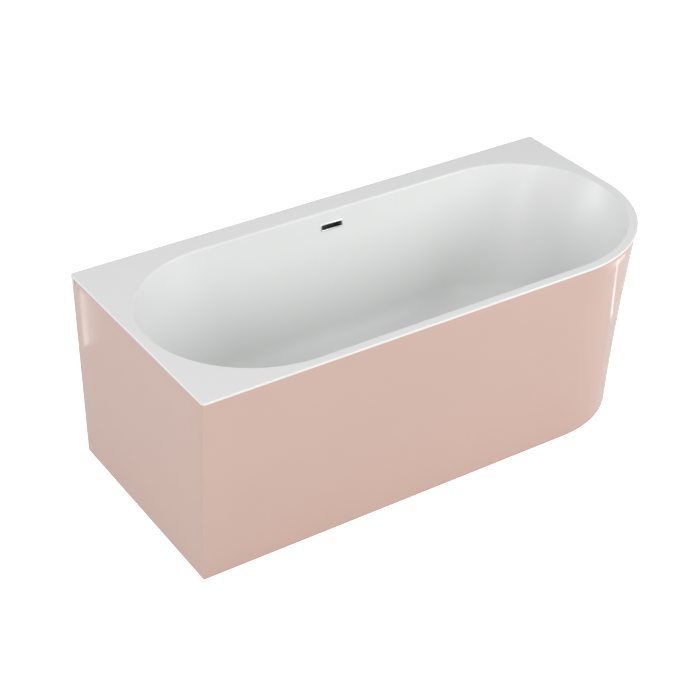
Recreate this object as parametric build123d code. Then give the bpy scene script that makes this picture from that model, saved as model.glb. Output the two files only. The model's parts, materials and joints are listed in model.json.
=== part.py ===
from build123d import *
import os
from math import cos, pi, radians, sin, sqrt, tan

os.makedirs("parts", exist_ok=True)

# A back-to-wall corner bath. Millimetres, X along the bath, +Y towards the wall behind it,
# Z up from the floor, origin on the floor under the middle of the bath.

# Deck and rim
bath_length = 1600.0
bath_width = 760.0
bath_height = 600.0
round_corner_radius = 380.0
small_corner_radius = 10.0
deck_thickness = 6.0
rim_edge_radius = 2.0
basin_edge_radius = 6.0
wall_lip_drop = 25.0
wall_lip_return = 20.0
wall_lip_thickness = 5.0

# Basin, measured at the rim
basin_front_y = -351.0
basin_back_y = 303.0
basin_left_x = -770.0
basin_right_x = 771.0
basin_floor_z = 175.0
side_lean = radians(10.0)
end_lean = radians(25.0)
floor_turn_height = 80.0
floor_turn_sections = 6
acrylic = 5.0
fibre = 4.0
fibre_top_z = 578.0

# Casing, as distances out from the line through the round corner's centre
casing_top_reach = 377.5
casing_waist_reach = 350.0
casing_foot_reach = 327.4
casing_waist_z = 330.0
casing_foot_z = 4.0
casing_wall = 5.0
casing_left_x = -797.5
casing_top_flange = 18.0
casing_foot_flange = 22.0
casing_wall_flange = 40.0
casing_corner_radius = 8.0

# Waste and overflow
waste_x = 0.0
waste_y = -24.0
waste_hole_radius = 23.5
overflow_z = 553.0
slot_width = 68.0
slot_height = 14.0
slot_corner = 1.5
trim_border = 4.0
trim_thickness = 2.0
sleeve_wall = 1.5
sleeve_depth = 36.0
body_depth = 32.0
body_wall = 3.0
gasket_thickness = 2.5
spigot_radius = 11.2
spigot_bore = 9.0

# Ribbed overflow hose
hose_y = 322.0
hose_top_z = 512.0
hose_low_z = 104.0
hose_end_y = 42.0
hose_bend_radius = 150.0
hose_crest_radius = 15.0
hose_valley_radius = 13.2
hose_bore_radius = 11.5
hose_cuff = 32.0
rib_pitch = 9.0

# Steel frame
tube = 25.0
tube_wall = 2.0
tube_corner = 2.5
board_thickness = 16.0
board_length = 900.0
board_width = 300.0
board_corner = 40.0
board_hole_radius = 50.0
rail_offset = 110.0
rail_left_x = -752.0
rail_right_x = 690.0
crossbar_places = {"left": -500.0, "middle": 160.0, "right": 500.0}
crossbar_front_y = -290.0
crossbar_back_y = 366.0
upright_y = 352.5
plate_length = 60.0
plate_width = 30.0
plate_thickness = 4.0
batten_length = 1240.0
batten_front_y = 345.0
batten_back_y = 373.0
batten_height = 18.0
foot_front_y = -262.0
foot_back_y = 318.0
rod_radius = 6.0
rod_length = 160.0
rod_base_z = 9.0
pad_radius = 25.0
pad_height = 22.0
pad_boss_radius = 11.0
spanner_height = 8.0
nut_height = 10.0
nut_flats = 19.0
nut_corner_cut = 2.0
thread_play = 0.08
spanner_flats = 17.0
screw_radius = 2.2
screw_head_radius = 4.6
screw_head_height = 2.8
screw_bite = 12.0
board_screw_x = (-420.0, -220.0, 220.0, 420.0)
plate_screw_offset = 21.5
bracket_width = 30.0
bracket_gauge = 2.0
bracket_toe = 16.0
bracket_grip = 40.0
cap_head = 3.0
cap_plug = 12.0

# Click-clack plug and its waste
flange_radius = 35.0
flange_lip = 2.0
tail_radius = 22.5
tail_bore = 21.0
tail_length = 44.0
hub_radius = 9.0
hub_drop = 19.0
hub_height = 8.0
stem_radius = 4.0
stem_play = 0.06
collar_radius = 5.6
plug_travel = 9.0
cap_radius = 32.0
cap_crown = 2.4
seal_inner = 25.0
seal_outer = 30.0
seal_gap = 0.3

# Trap and outlet
body_gasket_thickness = 3.0
waste_body_bottom = 79.0
trap_length = 62.0
trap_radius = 31.0
trap_low = 18.0
trap_high = 62.0
trap_wall = 3.0
dip_tube_z = 36.0
elbow_radius = 30.0
elbow_outer = 21.0
elbow_bore = 17.5
outlet_z = 96.0
pipe_radius = 20.0
pipe_bore = 18.2
pipe_bead_y = 46.0
pipe_end_y = 190.0

# Heights that follow from the ones above
deck_underside = bath_height - deck_thickness
board_top = basin_floor_z - acrylic - fibre
board_bottom = board_top - board_thickness
rail_bottom = board_bottom - tube
crossbar_bottom = rail_bottom - tube
corner_x = bath_length / 2 - round_corner_radius
batten_bottom = deck_underside - batten_height
bracket_foot_z = casing_foot_z + casing_wall
hub_top = basin_floor_z + 1 - hub_drop
flange_top = basin_floor_z + 1 + flange_lip
cap_seat_z = flange_top + seal_gap + 2.0


def save(shape, node):
    shape.label = node
    export_step(shape, f"parts/{node}.step")


def disc(radius, low, high, x=0.0, y=0.0):
    """A plain round along Z between two heights."""
    return Pos(x, y, low) * extrude(Circle(radius), amount=high - low)


def turned(points, x=0.0, y=0.0):
    """A solid of revolution about Z from (radius, height) corners."""
    outline = Plane.XZ * make_face(Polyline(*points, close=True))
    return Pos(x, y, 0) * revolve(outline, Axis.Z)


def block(low, high):
    """A box between two opposite corners."""
    size = [b - a for a, b in zip(low, high)]
    return Pos(*low) * Box(*size, align=(Align.MIN, Align.MIN, Align.MIN))


# Tub and deck


def deck_plan(inset=0.0):
    """The rim seen from above: one large round corner and three small ones."""
    left = -bath_length / 2 + inset
    right = bath_length / 2 - inset
    back = bath_width / 2 - inset
    radius = round_corner_radius - inset
    straight = FilletPolyline(
        (corner_x, -radius), (left, -radius), (left, back), (right, back), (right, 0),
        radius=small_corner_radius - inset,
    )
    corner = CenterArc((corner_x, 0), radius, -90, 90)
    return make_face(straight.edges() + corner.edges())


def wall_inset(z, lean, offset):
    """How far in from the rim the basin wall stands at height z.

    The wall is straight at its lean and turns into the floor on an arc. The offset is
    the distance out from the wetted face, square to it.
    """
    turn_radius = floor_turn_height / (1 - sin(lean))
    centre_z = basin_floor_z + turn_radius
    centre_in = (bath_height - basin_floor_z - floor_turn_height) * tan(lean)
    centre_in += turn_radius * cos(lean)
    radius = turn_radius + offset
    if z >= centre_z - radius * sin(lean):
        return (bath_height - z) * tan(lean) - offset / cos(lean)
    return centre_in - sqrt(max(radius**2 - (centre_z - z) ** 2, 0.0))


def basin_outline(z, offset):
    """The basin at height z: two straights and four quarter rounds."""
    side = wall_inset(z, side_lean, offset)
    end = wall_inset(z, end_lean, offset)
    front = basin_front_y + side
    back = basin_back_y - side
    left = basin_left_x + end
    right = basin_right_x - end
    left_radius = (back - front) / 2
    middle = (back + front) / 2
    left_centre = (left + left_radius, middle)
    edges = [
        Line((left_centre[0], front), (right + front, front)),
        CenterArc((right + front, 0), -front, -90, 90),
        CenterArc((right - back, 0), back, 0, 90),
        Line((right - back, back), (left_centre[0], back)),
        CenterArc(left_centre, left_radius, 90, 90),
        CenterArc(left_centre, left_radius, 180, 90),
    ]
    return Pos(0, 0, z) * make_face(ShapeList(edges))


def basin_form(offset, top_z):
    """The solid bounded by the basin's face moved out by the offset."""
    floor_z = basin_floor_z - offset
    turn_z = basin_floor_z + floor_turn_height
    rise = turn_z - floor_z
    steps = [
        floor_z + rise * (1 - sin(k / floor_turn_sections * pi / 2))
        for k in range(floor_turn_sections + 1)
    ]
    walls = loft([basin_outline(top_z, offset), basin_outline(turn_z, offset)], ruled=True)
    turn = loft([basin_outline(z, offset) for z in steps])
    return walls + turn


def overflow_plane():
    """On the wetted face at the slot, looking into the basin, y up the wall."""
    y = basin_back_y - wall_inset(overflow_z, side_lean, 0)
    return Plane(
        origin=(waste_x, y, overflow_z),
        x_dir=(1, 0, 0),
        z_dir=(0, -cos(side_lean), sin(side_lean)),
    )


def slot_bar(grow, near, far, corner=slot_corner):
    """The slot's section, grown on all sides, between two depths behind the wall face."""
    section = RectangleRounded(slot_width + 2 * grow, slot_height + 2 * grow, corner)
    return overflow_plane() * Pos(0, 0, -far) * extrude(section, amount=far - near)


def make_bath_shell():
    deck = Pos(0, 0, deck_underside) * extrude(deck_plan(), amount=deck_thickness)
    deck = fillet(deck.faces().sort_by(Axis.Z)[-1].edges(), rim_edge_radius)
    lip_bottom = deck_underside - wall_lip_drop
    ring = deck_plan() - deck_plan(wall_lip_thickness)
    lip = Pos(0, 0, lip_bottom) * extrude(ring, amount=wall_lip_drop)
    lip &= block(
        (-bath_length, bath_width / 2 - wall_lip_return, 0),
        (bath_length, bath_width, bath_height),
    )
    shell = deck + lip + basin_form(acrylic, bath_height - deck_thickness / 2)
    shell -= basin_form(0, bath_height + deck_thickness)
    rim = [
        e for e in shell.edges()
        if abs(e.center().Z - bath_height) < 0.01 and inside_rim(e @ 0.5)
    ]
    shell = fillet(rim, basin_edge_radius)
    shell -= disc(waste_hole_radius, 0, bath_height / 2, waste_x, waste_y)
    shell -= slot_bar(sleeve_wall + 0.5, -20, 20)
    return shell


def inside_rim(point):
    """Whether a point on the deck lies on the basin's edge and not the outer one."""
    clear = 15.0
    if point.Y > basin_back_y + clear or point.Y < basin_front_y - clear:
        return False
    if point.X < basin_left_x - clear:
        return False
    from_corner = sqrt(max(point.X - corner_x, 0) ** 2 + min(point.Y, 0) ** 2)
    return from_corner < round_corner_radius - clear


def make_fibre_backing():
    skin = basin_form(acrylic + fibre, fibre_top_z) - basin_form(acrylic, bath_height)
    skin -= disc(waste_hole_radius, 0, bath_height / 2, waste_x, waste_y)
    skin -= slot_bar(sleeve_wall + 0.5, -20, 30)
    return skin


# Casing


def casing_reach(height):
    """Outer reach of the casing at a height, on the arc through foot, waist and top."""
    low = (casing_foot_reach, casing_foot_z)
    mid = (casing_waist_reach, casing_waist_z)
    top = (casing_top_reach, deck_underside)
    cross = 2 * (low[0] * (mid[1] - top[1]) + mid[0] * (top[1] - low[1]) + top[0] * (low[1] - mid[1]))
    squares = [p[0] ** 2 + p[1] ** 2 for p in (low, mid, top)]
    u = squares[0] * (mid[1] - top[1]) + squares[1] * (top[1] - low[1]) + squares[2] * (low[1] - mid[1])
    v = squares[0] * (top[0] - mid[0]) + squares[1] * (low[0] - top[0]) + squares[2] * (mid[0] - low[0])
    centre = (u / cross, v / cross)
    radius = sqrt((low[0] - centre[0]) ** 2 + (low[1] - centre[1]) ** 2)
    return centre[0] - sqrt(radius**2 - (height - centre[1]) ** 2)


def casing_arc(inset, low, high):
    """The wall's curve, moved in by the inset, between two heights."""
    middle = (low + high) / 2
    return ThreePointArc(
        *[(casing_reach(z) - inset, z) for z in (low, middle, high)]
    )


def casing_section():
    """Wall with a glued flange under the deck and a foot flange turned in."""
    low, high = casing_foot_z, deck_underside
    inner = casing_arc(casing_wall, low + casing_wall, high - casing_wall)
    outer = casing_arc(0, low, high)
    top_in = casing_top_reach - casing_top_flange
    foot_in = casing_foot_reach - casing_foot_flange
    top = Polyline(outer @ 1, (top_in, high), (top_in, high - casing_wall), inner @ 1)
    foot = Polyline(inner @ 0, (foot_in, low + casing_wall), (foot_in, low), outer @ 0)
    return make_face(ShapeList([outer, *top.edges(), inner, *foot.edges()]))


def make_casing():
    back = bath_width / 2
    section = casing_section()
    facing_front = Plane(origin=(corner_x, 0, 0), x_dir=(0, -1, 0), z_dir=(-1, 0, 0))
    facing_right = Plane(origin=(corner_x, 0, 0), x_dir=(1, 0, 0), z_dir=(0, -1, 0))
    front = extrude(facing_front * section, amount=corner_x - casing_left_x)
    corner = revolve(facing_front * section, Axis((corner_x, 0, 0), (0, 0, 1)), 90)
    right = extrude(facing_right * section, amount=-back)
    casing = front + corner + right + casing_left_panel() + casing_right_flange()
    lip_bottom = deck_underside - wall_lip_drop
    casing -= block(
        (-bath_length, back - wall_lip_return, lip_bottom), (bath_length, bath_width, bath_height)
    )
    for x, y in bracket_hole_places():
        casing -= disc(screw_radius + 0.2, 0, bracket_foot_z + 1, x, y)
    return casing


def casing_left_panel():
    """Upright end panel with its flanges, cut to the front's curve."""
    back = bath_width / 2
    low, high = casing_foot_z, deck_underside
    side = Plane(origin=(casing_left_x, 0, 0), x_dir=(0, -1, 0), z_dir=(-1, 0, 0))
    curve = casing_arc(0, low, high)
    rest = Polyline(curve @ 1, (-back, high), (-back, low), curve @ 0)
    panel = extrude(side * make_face(ShapeList([curve, *rest.edges()])), amount=-casing_wall)
    top = block(
        (casing_left_x, -casing_top_reach + casing_wall, high - casing_wall),
        (casing_left_x + casing_top_flange, back, high),
    )
    foot = block(
        (casing_left_x, -casing_foot_reach + casing_wall, low),
        (casing_left_x + casing_foot_flange, back, low + casing_wall),
    )
    wall = block(
        (casing_left_x, back - casing_wall, low),
        (casing_left_x + casing_wall_flange, back, high),
    )
    panel = panel + top + foot + wall
    edge = panel.edges().filter_by(Axis.Z).filter_by(
        lambda e: e.center().X < casing_left_x + 1 and e.center().Y > back - 1
    )
    return fillet(edge, casing_corner_radius)


def casing_right_flange():
    """Flange against the wall at the right end, along the leaning edge."""
    low, high = casing_foot_z, deck_underside
    outer = casing_arc(0, low, high)
    inner = casing_arc(casing_wall_flange, low, high)
    ends = [Line(outer @ 0, inner @ 0), Line(outer @ 1, inner @ 1)]
    plane = Plane(origin=(corner_x, bath_width / 2, 0), x_dir=(1, 0, 0), z_dir=(0, -1, 0))
    return extrude(plane * make_face(ShapeList([outer, inner, *ends])), amount=casing_wall)


# Frame, board and batten


def tube_section():
    hollow = tube - 2 * tube_wall
    return RectangleRounded(tube, tube, tube_corner) - Rectangle(hollow, hollow)


def tube_along_x(x0, x1, y, bottom):
    plane = Plane(origin=(x0, y, bottom + tube / 2), x_dir=(0, 1, 0), z_dir=(1, 0, 0))
    return extrude(plane * tube_section(), amount=x1 - x0)


def tube_along_y(y0, y1, x, bottom):
    plane = Plane(origin=(x, y0, bottom + tube / 2), x_dir=(1, 0, 0), z_dir=(0, 1, 0))
    return extrude(plane * tube_section(), amount=y1 - y0)


def rail_places():
    return {"front": waste_y - rail_offset, "back": waste_y + rail_offset}


def board_screw_places():
    return [(x, y) for y in rail_places().values() for x in board_screw_x]


def foot_places():
    """Names and places of the six feet, two on each crossbar."""
    depths = {"front": foot_front_y, "back": foot_back_y}
    return {f"{bar}_{depth}": (x, y) for bar, x in crossbar_places.items() for depth, y in depths.items()}


def make_base_board():
    board = extrude(RectangleRounded(board_length, board_width, board_corner), amount=board_thickness)
    board = Pos(waste_x, waste_y, board_bottom) * board
    board -= disc(board_hole_radius, board_bottom - 1, board_top + 1, waste_x, waste_y)
    for x, y in board_screw_places():
        board -= disc(screw_radius + 0.1, board_bottom - 1, board_top - 3, x, y)
    return board


def make_rail(y):
    rail = tube_along_x(rail_left_x, rail_right_x, y, rail_bottom)
    for x, screw_y in board_screw_places():
        if screw_y == y:
            rail -= disc(screw_radius + 0.4, rail_bottom - 1, board_bottom + 1, x, y)
    return rail


def make_crossbar(x):
    bar = tube_along_y(crossbar_front_y, crossbar_back_y, x, crossbar_bottom)
    for y in (foot_front_y, foot_back_y):
        bar -= disc(rod_radius + 0.6, crossbar_bottom - 1, rail_bottom + 1, x, y)
    return bar


def plate_screw_places(x):
    return [(x + side * plate_screw_offset, upright_y) for side in (-1, 1)]


def make_upright(x):
    """Tube from the end crossbar to a plate under the batten."""
    plate_z = batten_bottom - plate_thickness
    post = extrude(Pos(x, upright_y, rail_bottom) * tube_section(), amount=plate_z - rail_bottom)
    plate = Pos(x, upright_y, plate_z) * extrude(
        RectangleRounded(plate_length, plate_width, 4), amount=plate_thickness
    )
    for px, py in plate_screw_places(x):
        plate -= disc(screw_radius + 0.4, plate_z - 1, batten_bottom + 1, px, py)
    return post + plate


def make_rim_batten():
    batten = block(
        (-batten_length / 2, batten_front_y, batten_bottom),
        (batten_length / 2, batten_back_y, deck_underside),
    )
    for x in (crossbar_places["left"], crossbar_places["right"]):
        for px, py in plate_screw_places(x):
            batten -= disc(screw_radius + 0.1, batten_bottom - 1, deck_underside - 3, px, py)
    return batten


def pan_screw(x, y, seat, length, up=True):
    """A pan head screw whose head bears on a seat height."""
    way = 1 if up else -1
    tip, base = seat + way * length, seat - way * screw_head_height
    points = [
        (0, base), (screw_head_radius * 0.7, base), (screw_head_radius, base + way * 1.2),
        (screw_head_radius, seat), (screw_radius, seat), (screw_radius, tip - way * 3), (0, tip),
    ]
    return turned(points, x, y)


def make_board_screws():
    return [pan_screw(x, y, rail_bottom, tube + screw_bite) for x, y in board_screw_places()]


def make_batten_screws():
    seat = batten_bottom - plate_thickness
    ends = (crossbar_places["left"], crossbar_places["right"])
    return [pan_screw(x, y, seat, 18) for end in ends for x, y in plate_screw_places(end)]


def hex_nut(x, y, low):
    """A nut with its six corners turned off at both faces."""
    hexagon = RegularPolygon(nut_flats / 2, 6, major_radius=False)
    body = extrude(hexagon - Circle(rod_radius + thread_play), amount=nut_height)
    face, corner = nut_flats / 2 + 0.4, nut_flats / 2 + 2.4
    cone = turned([
        (0, -1), (face, -1), (corner, nut_corner_cut), (corner, nut_height - nut_corner_cut),
        (face, nut_height + 1), (0, nut_height + 1),
    ])
    return Pos(x, y, low) * (body & cone)


def make_nuts(low):
    return [hex_nut(x, y, low) for x, y in foot_places().values()]


def make_foot_rod(x, y):
    """Threaded rod with a hexagon for the spanner just above the pad."""
    rod = disc(rod_radius, rod_base_z, rod_base_z + rod_length, x, y)
    rod = chamfer(rod.edges().sort_by(Axis.Z)[-1], 1.0)
    hexagon = RegularPolygon(spanner_flats / 2, 6, major_radius=False)
    return rod + Pos(x, y, pad_height) * extrude(hexagon, amount=spanner_height)


def make_foot_pad(x, y):
    """Moulded pad whose boss grips the foot of the rod."""
    return turned([
        (0, 0), (pad_radius - 1.5, 0), (pad_radius, 1.5), (pad_radius, 4.5),
        (pad_boss_radius + 2, 9), (pad_boss_radius, 12), (pad_boss_radius, pad_height),
        (rod_radius, pad_height), (rod_radius, rod_base_z), (0, rod_base_z),
    ], x, y)


# Casing brackets: top leg welded under a tube, foot leg screwed to the casing's foot flange

def casing_bracket(reach, grip, seat):
    """A strap drawn along local X: its outer face at reach, gripping the tube grip long."""
    outer = [
        (reach - grip, seat), (reach, seat), (reach, bracket_foot_z),
        (reach - bracket_toe, bracket_foot_z), (reach - bracket_toe, bracket_foot_z + bracket_gauge),
        (reach - bracket_gauge, bracket_foot_z + bracket_gauge),
        (reach - bracket_gauge, seat - bracket_gauge), (reach - grip, seat - bracket_gauge),
    ]
    profile = Plane.XZ * make_face(Polyline(*outer, close=True))
    strap = Pos(0, bracket_width / 2, 0) * extrude(profile, amount=bracket_width)
    hole = disc(screw_radius + 0.2, 0, bracket_foot_z + 3, reach - bracket_toe / 2)
    return strap - hole


def bracket_places():
    """Turn about Z, origin, reach, grip and seat height of each bracket."""
    front_reach = casing_reach(bracket_foot_z) - casing_wall - 1.9
    left_reach = -casing_left_x - casing_wall - 1.5
    right_reach = corner_x + front_reach
    rails = rail_places()
    places = [
        (-90, (crossbar_places[name], 0), front_reach, front_reach + crossbar_front_y + 15, crossbar_bottom)
        for name in ("left", "middle")
    ]
    for y in rails.values():
        grip = left_reach + rail_left_x + bracket_grip
        places.append((180, (0, y), left_reach, grip, rail_bottom))
    grip = right_reach - rail_right_x + bracket_grip
    places.append((0, (0, rails["back"]), right_reach, grip, rail_bottom))
    return places


def bracket_hole_places():
    holes = []
    for turn, (x, y), reach, _, _ in bracket_places():
        along = reach - bracket_toe / 2
        holes.append((x + along * cos(radians(turn)), y + along * sin(radians(turn))))
    return holes


def make_casing_brackets():
    return [
        Pos(x, y, 0) * Rot(0, 0, turn) * casing_bracket(reach, grip, seat)
        for turn, (x, y), reach, grip, seat in bracket_places()
    ]


def make_bracket_screws():
    seat = bracket_foot_z + bracket_gauge
    return [pan_screw(x, y, seat, 6.5, up=False) for x, y in bracket_hole_places()]


def make_tube_caps():
    """Plastic plugs closing the open tube ends."""
    size = tube - 2 * tube_wall - 0.6
    caps = []
    for y in rail_places().values():
        z = rail_bottom + tube / 2
        for x, way in ((rail_left_x, -1), (rail_right_x, 1)):
            head = Pos(x + way * cap_head / 2, y, z) * Box(cap_head, tube, tube)
            plug = Pos(x - way * cap_plug / 2, y, z) * Box(cap_plug, size, size)
            caps.append(head + plug)
    for x in crossbar_places.values():
        z = crossbar_bottom + tube / 2
        for y, way in ((crossbar_front_y, -1), (crossbar_back_y, 1)):
            head = Pos(x, y + way * cap_head / 2, z) * Box(tube, cap_head, tube)
            plug = Pos(x, y - way * cap_plug / 2, z) * Box(size, cap_plug, size)
            caps.append(head + plug)
    return caps


# Overflow


def make_overflow_trim():
    """Chrome frame on the wall with a deep open sleeve behind it."""
    frame = slot_bar(trim_border, -trim_thickness, 0, 2.5)
    frame = chamfer(frame.faces().sort_by(Axis.Y)[0].edges(), 0.6)
    sleeve = slot_bar(sleeve_wall, 0, sleeve_depth)
    return frame + sleeve - slot_bar(0, -5, sleeve_depth + 5, 1.0)


def make_overflow_gasket():
    near = acrylic + fibre
    far = near + gasket_thickness
    return slot_bar(12, near, far, 6) - slot_bar(3, near - 1, far + 1, 3)


def make_overflow_body():
    """Box behind the wall that takes the sleeve and drains down into the hose."""
    near = acrylic + fibre + gasket_thickness
    far = near + body_depth
    flange = slot_bar(12, near, near + body_wall, 6)
    box = slot_bar(8, near, far, 4)
    box = fillet(box.faces().sort_by(Axis.Y)[-1].edges(), 2.5)
    body = flange + box
    spout_top = overflow_z - slot_height
    body += disc(spigot_radius + 3, hose_top_z + 2, spout_top, waste_x, hose_y)
    body += disc(spigot_radius, hose_top_z - 24, hose_top_z + 4, waste_x, hose_y)
    body -= slot_bar(5, near - 1, far - body_wall, 2)
    body -= disc(spigot_bore, hose_top_z - 30, spout_top + 2, waste_x, hose_y)
    return body


def hose_length():
    down = hose_top_z - (hose_low_z + hose_bend_radius)
    along = hose_y - hose_bend_radius - hose_end_y
    return down + hose_bend_radius * pi / 2 + along


def hose_plane(travel):
    """Where the hose's middle line is after a travel from its top, X kept level."""
    down = hose_top_z - (hose_low_z + hose_bend_radius)
    bend = hose_bend_radius * pi / 2
    if travel <= down:
        return Plane((waste_x, hose_y, hose_top_z - travel), (1, 0, 0), (0, 0, -1))
    centre_y = hose_y - hose_bend_radius
    if travel <= down + bend:
        turn = (travel - down) / hose_bend_radius
        y = centre_y + hose_bend_radius * cos(turn)
        z = hose_low_z + hose_bend_radius - hose_bend_radius * sin(turn)
        return Plane((waste_x, y, z), (1, 0, 0), (0, -sin(turn), -cos(turn)))
    return Plane((waste_x, centre_y - (travel - down - bend), hose_low_z), (1, 0, 0), (0, -1, 0))


def make_overflow_hose():
    """Ribs between two smooth cuffs, each rib a step up, a crest and a step down."""
    length = hose_length()
    count = int((length - 2 * hose_cuff) / rib_pitch)
    start = (length - count * rib_pitch) / 2
    stations = [(0, hose_crest_radius - 0.4), (start - 3, hose_crest_radius - 0.4)]
    for k in range(count):
        foot = start + k * rib_pitch
        stations += [
            (foot, hose_valley_radius), (foot + rib_pitch * 0.28, hose_crest_radius),
            (foot + rib_pitch * 0.62, hose_crest_radius), (foot + rib_pitch * 0.9, hose_valley_radius),
        ]
    stations += [(length - start + 3, hose_crest_radius - 0.4), (length, hose_crest_radius - 0.4)]
    rings = [hose_plane(travel) * Circle(radius) for travel, radius in stations]
    bore = [hose_plane(travel) * Circle(hose_bore_radius) for travel in bore_stations()]
    return loft(rings, ruled=True) - loft(bore, ruled=True)


def bore_stations():
    """Every 12 mm in the bend, and the ends of the straights."""
    down = hose_top_z - (hose_low_z + hose_bend_radius)
    bend = hose_bend_radius * pi / 2
    steps = round(bend / 12)
    return [0, *[down + bend * k / steps for k in range(steps + 1)], hose_length()]


def hose_nut():
    """Ribbed grip nut round a hose cuff, opening at local z 0."""
    outer, inner, height = 20.0, hose_crest_radius - 0.1, 22.0
    ring = turned([
        (inner, 0), (outer - 1, 0), (outer, 1), (outer, height - 4), (outer - 3, height),
        (hose_bore_radius + 0.2, height), (hose_bore_radius + 0.2, height - 2), (inner, height - 2),
    ])
    notch = Pos(outer + 0.4, 0, 0) * extrude(Circle(1.3), amount=height - 5)
    return ring - [Rot(0, 0, k * 30) * notch for k in range(12)]


def make_hose_nut_top():
    return Pos(waste_x, hose_y, hose_top_z - 20) * hose_nut()


def make_hose_nut_bottom():
    plane = Plane((waste_x, hose_end_y + 20, hose_low_z), (1, 0, 0), (0, -1, 0))
    return plane * hose_nut()


# Waste


def make_flange_gasket():
    z = basin_floor_z
    return turned([(24, z), (33, z), (33, z + 1), (24, z + 1)], waste_x, waste_y)


def make_waste_flange():
    """Chrome ring in the floor with a threaded tail and a cross that holds the cartridge."""
    low = flange_top - flange_lip
    ring = turned([
        (tail_bore, low - tail_length), (tail_radius, low - tail_length), (tail_radius, low),
        (flange_radius, low), (flange_radius, low + 0.8), (flange_radius - 1.5, flange_top),
        (tail_radius, flange_top), (tail_bore, low - 3),
    ])
    hub_wall = 3.0
    hub = turned([
        (hub_radius, hub_top - hub_height), (hub_radius + hub_wall, hub_top - hub_height),
        (hub_radius + hub_wall, hub_top), (hub_radius, hub_top),
    ])
    arm_length = tail_bore - hub_radius - hub_wall + 1
    arm_middle = (tail_bore + hub_radius + hub_wall) / 2
    arms = [
        Rot(0, 0, 45 + 90 * k) * Pos(arm_middle, 0, hub_top - hub_height / 2) * Box(arm_length, 3, 5)
        for k in range(4)
    ]
    return Pos(waste_x, waste_y, 0) * (ring + hub + arms)


def make_body_gasket():
    low = board_top - body_gasket_thickness
    return turned([(24, low), (38, low), (38, board_top), (24, board_top)], waste_x, waste_y)


def make_waste_body():
    """Tail piece under the floor with a side inlet for the overflow."""
    top = board_top - body_gasket_thickness
    low = waste_body_bottom
    thread_bore = tail_radius + 0.3
    main = turned([
        (0, low), (24, low), (24, 122), (26.5, 127), (26.5, top - 4), (38, top - 4), (38, top), (0, top),
    ])
    side = Plane((0, 0, hose_low_z), (1, 0, 0), (0, 1, 0))
    reach = hose_end_y - waste_y
    main += side * extrude(Circle(spigot_radius + 3), amount=reach - 3)
    main += side * extrude(Circle(spigot_radius), amount=reach + 24)
    main -= turned([
        (0, low - 1), (20, low - 1), (20, 126), (thread_bore, 129), (thread_bore, top + 1), (0, top + 1),
    ])
    main -= side * extrude(Circle(spigot_bore), amount=reach + 30)
    return Pos(waste_x, waste_y, 0) * main


def make_click_cartridge():
    """Push-push latch housing standing on the flange's cross."""
    shank, head, cavity = hub_radius - 0.3, hub_radius + 2, collar_radius + 0.4
    bore = stem_radius + stem_play
    return turned([
        (0, hub_top - 23), (shank, hub_top - 23), (shank, hub_top), (head, hub_top),
        (head, hub_top + 3), (7, hub_top + 5), (bore, hub_top + 5), (bore, hub_top - 5),
        (cavity, hub_top - 5), (cavity, hub_top - 20), (0, hub_top - 20),
    ], waste_x, waste_y)


def make_plug_stem():
    """Rod with the collar that keeps it in the cartridge over the plug's travel."""
    collar_top = hub_top - 5 - plug_travel - 0.5
    return turned([
        (0, collar_top - 4), (collar_radius, collar_top - 4), (collar_radius, collar_top),
        (stem_radius, collar_top), (stem_radius, cap_seat_z + 1), (0, cap_seat_z + 1),
    ], waste_x, waste_y)


def make_plug_cap():
    """Low domed cap with a boss for the stem and a groove for the seal."""
    z, rim = cap_seat_z, cap_radius - 4
    edge_z = z + 4.8
    crown_z = edge_z + cap_crown
    sphere = (rim**2 + cap_crown**2) / (2 * cap_crown)
    half_z = crown_z - sphere + sqrt(sphere**2 - rim**2 / 4)
    under = Polyline(
        (0, crown_z), (0, z + 1), (stem_radius, z + 1), (stem_radius, z - 9), (7, z - 9), (7, z),
        (seal_inner, z), (seal_inner, z + 1.5), (seal_outer, z + 1.5), (seal_outer, z),
        (cap_radius, z), (cap_radius, z + 2), (rim, edge_z),
    )
    dome = ThreePointArc((rim, edge_z), (rim / 2, half_z), (0, crown_z))
    outline = Plane.XZ * make_face(ShapeList([*under.edges(), dome]))
    return Pos(waste_x, waste_y, 0) * revolve(outline, Axis.Z)


def make_plug_seal():
    low, high = flange_top + seal_gap, cap_seat_z + 1.5
    return turned([
        (seal_inner, high), (seal_inner, low + 0.8), (seal_inner + 1, low), (seal_outer - 1, low),
        (seal_outer, low + 0.8), (seal_outer, high),
    ], waste_x, waste_y)


# Trap


def ring_bar(plane, outer, inner, length):
    return plane * extrude(Circle(outer) - Circle(inner), amount=length)


def make_trap_body():
    """Shallow cup with a dip tube under the waste and an elbow out towards the wall."""
    middle = waste_x - trap_length / 2
    inside = trap_radius - trap_wall
    cup = Pos(middle, waste_y, trap_low) * extrude(
        SlotCenterToCenter(trap_length, 2 * trap_radius), amount=trap_high - trap_low
    )
    cup = fillet(cup.faces().sort_by(Axis.Z)[0].edges(), 10)
    cup = fillet(cup.faces().sort_by(Axis.Z)[-1].edges(), 3)
    cup -= Pos(middle, waste_y, trap_low + trap_wall) * extrude(
        SlotCenterToCenter(trap_length, 2 * inside), amount=trap_high - trap_low - 2 * trap_wall
    )
    cup += disc(22, trap_high - trap_wall, waste_body_bottom, waste_x, waste_y)
    cup += disc(23.8, waste_body_bottom - 4.5, waste_body_bottom, waste_x, waste_y)
    cup += disc(20.5, dip_tube_z, trap_high, waste_x, waste_y)
    cup -= disc(18.5, dip_tube_z - 1, waste_body_bottom + 1, waste_x, waste_y)
    return cup + trap_elbow() - trap_elbow_bore()


def elbow_path_face(radius):
    """A round section at the foot of the elbow."""
    plane = Plane((waste_x - trap_length, waste_y, outlet_z - elbow_radius), (1, 0, 0), (0, 0, 1))
    return plane * Circle(radius)


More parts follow.
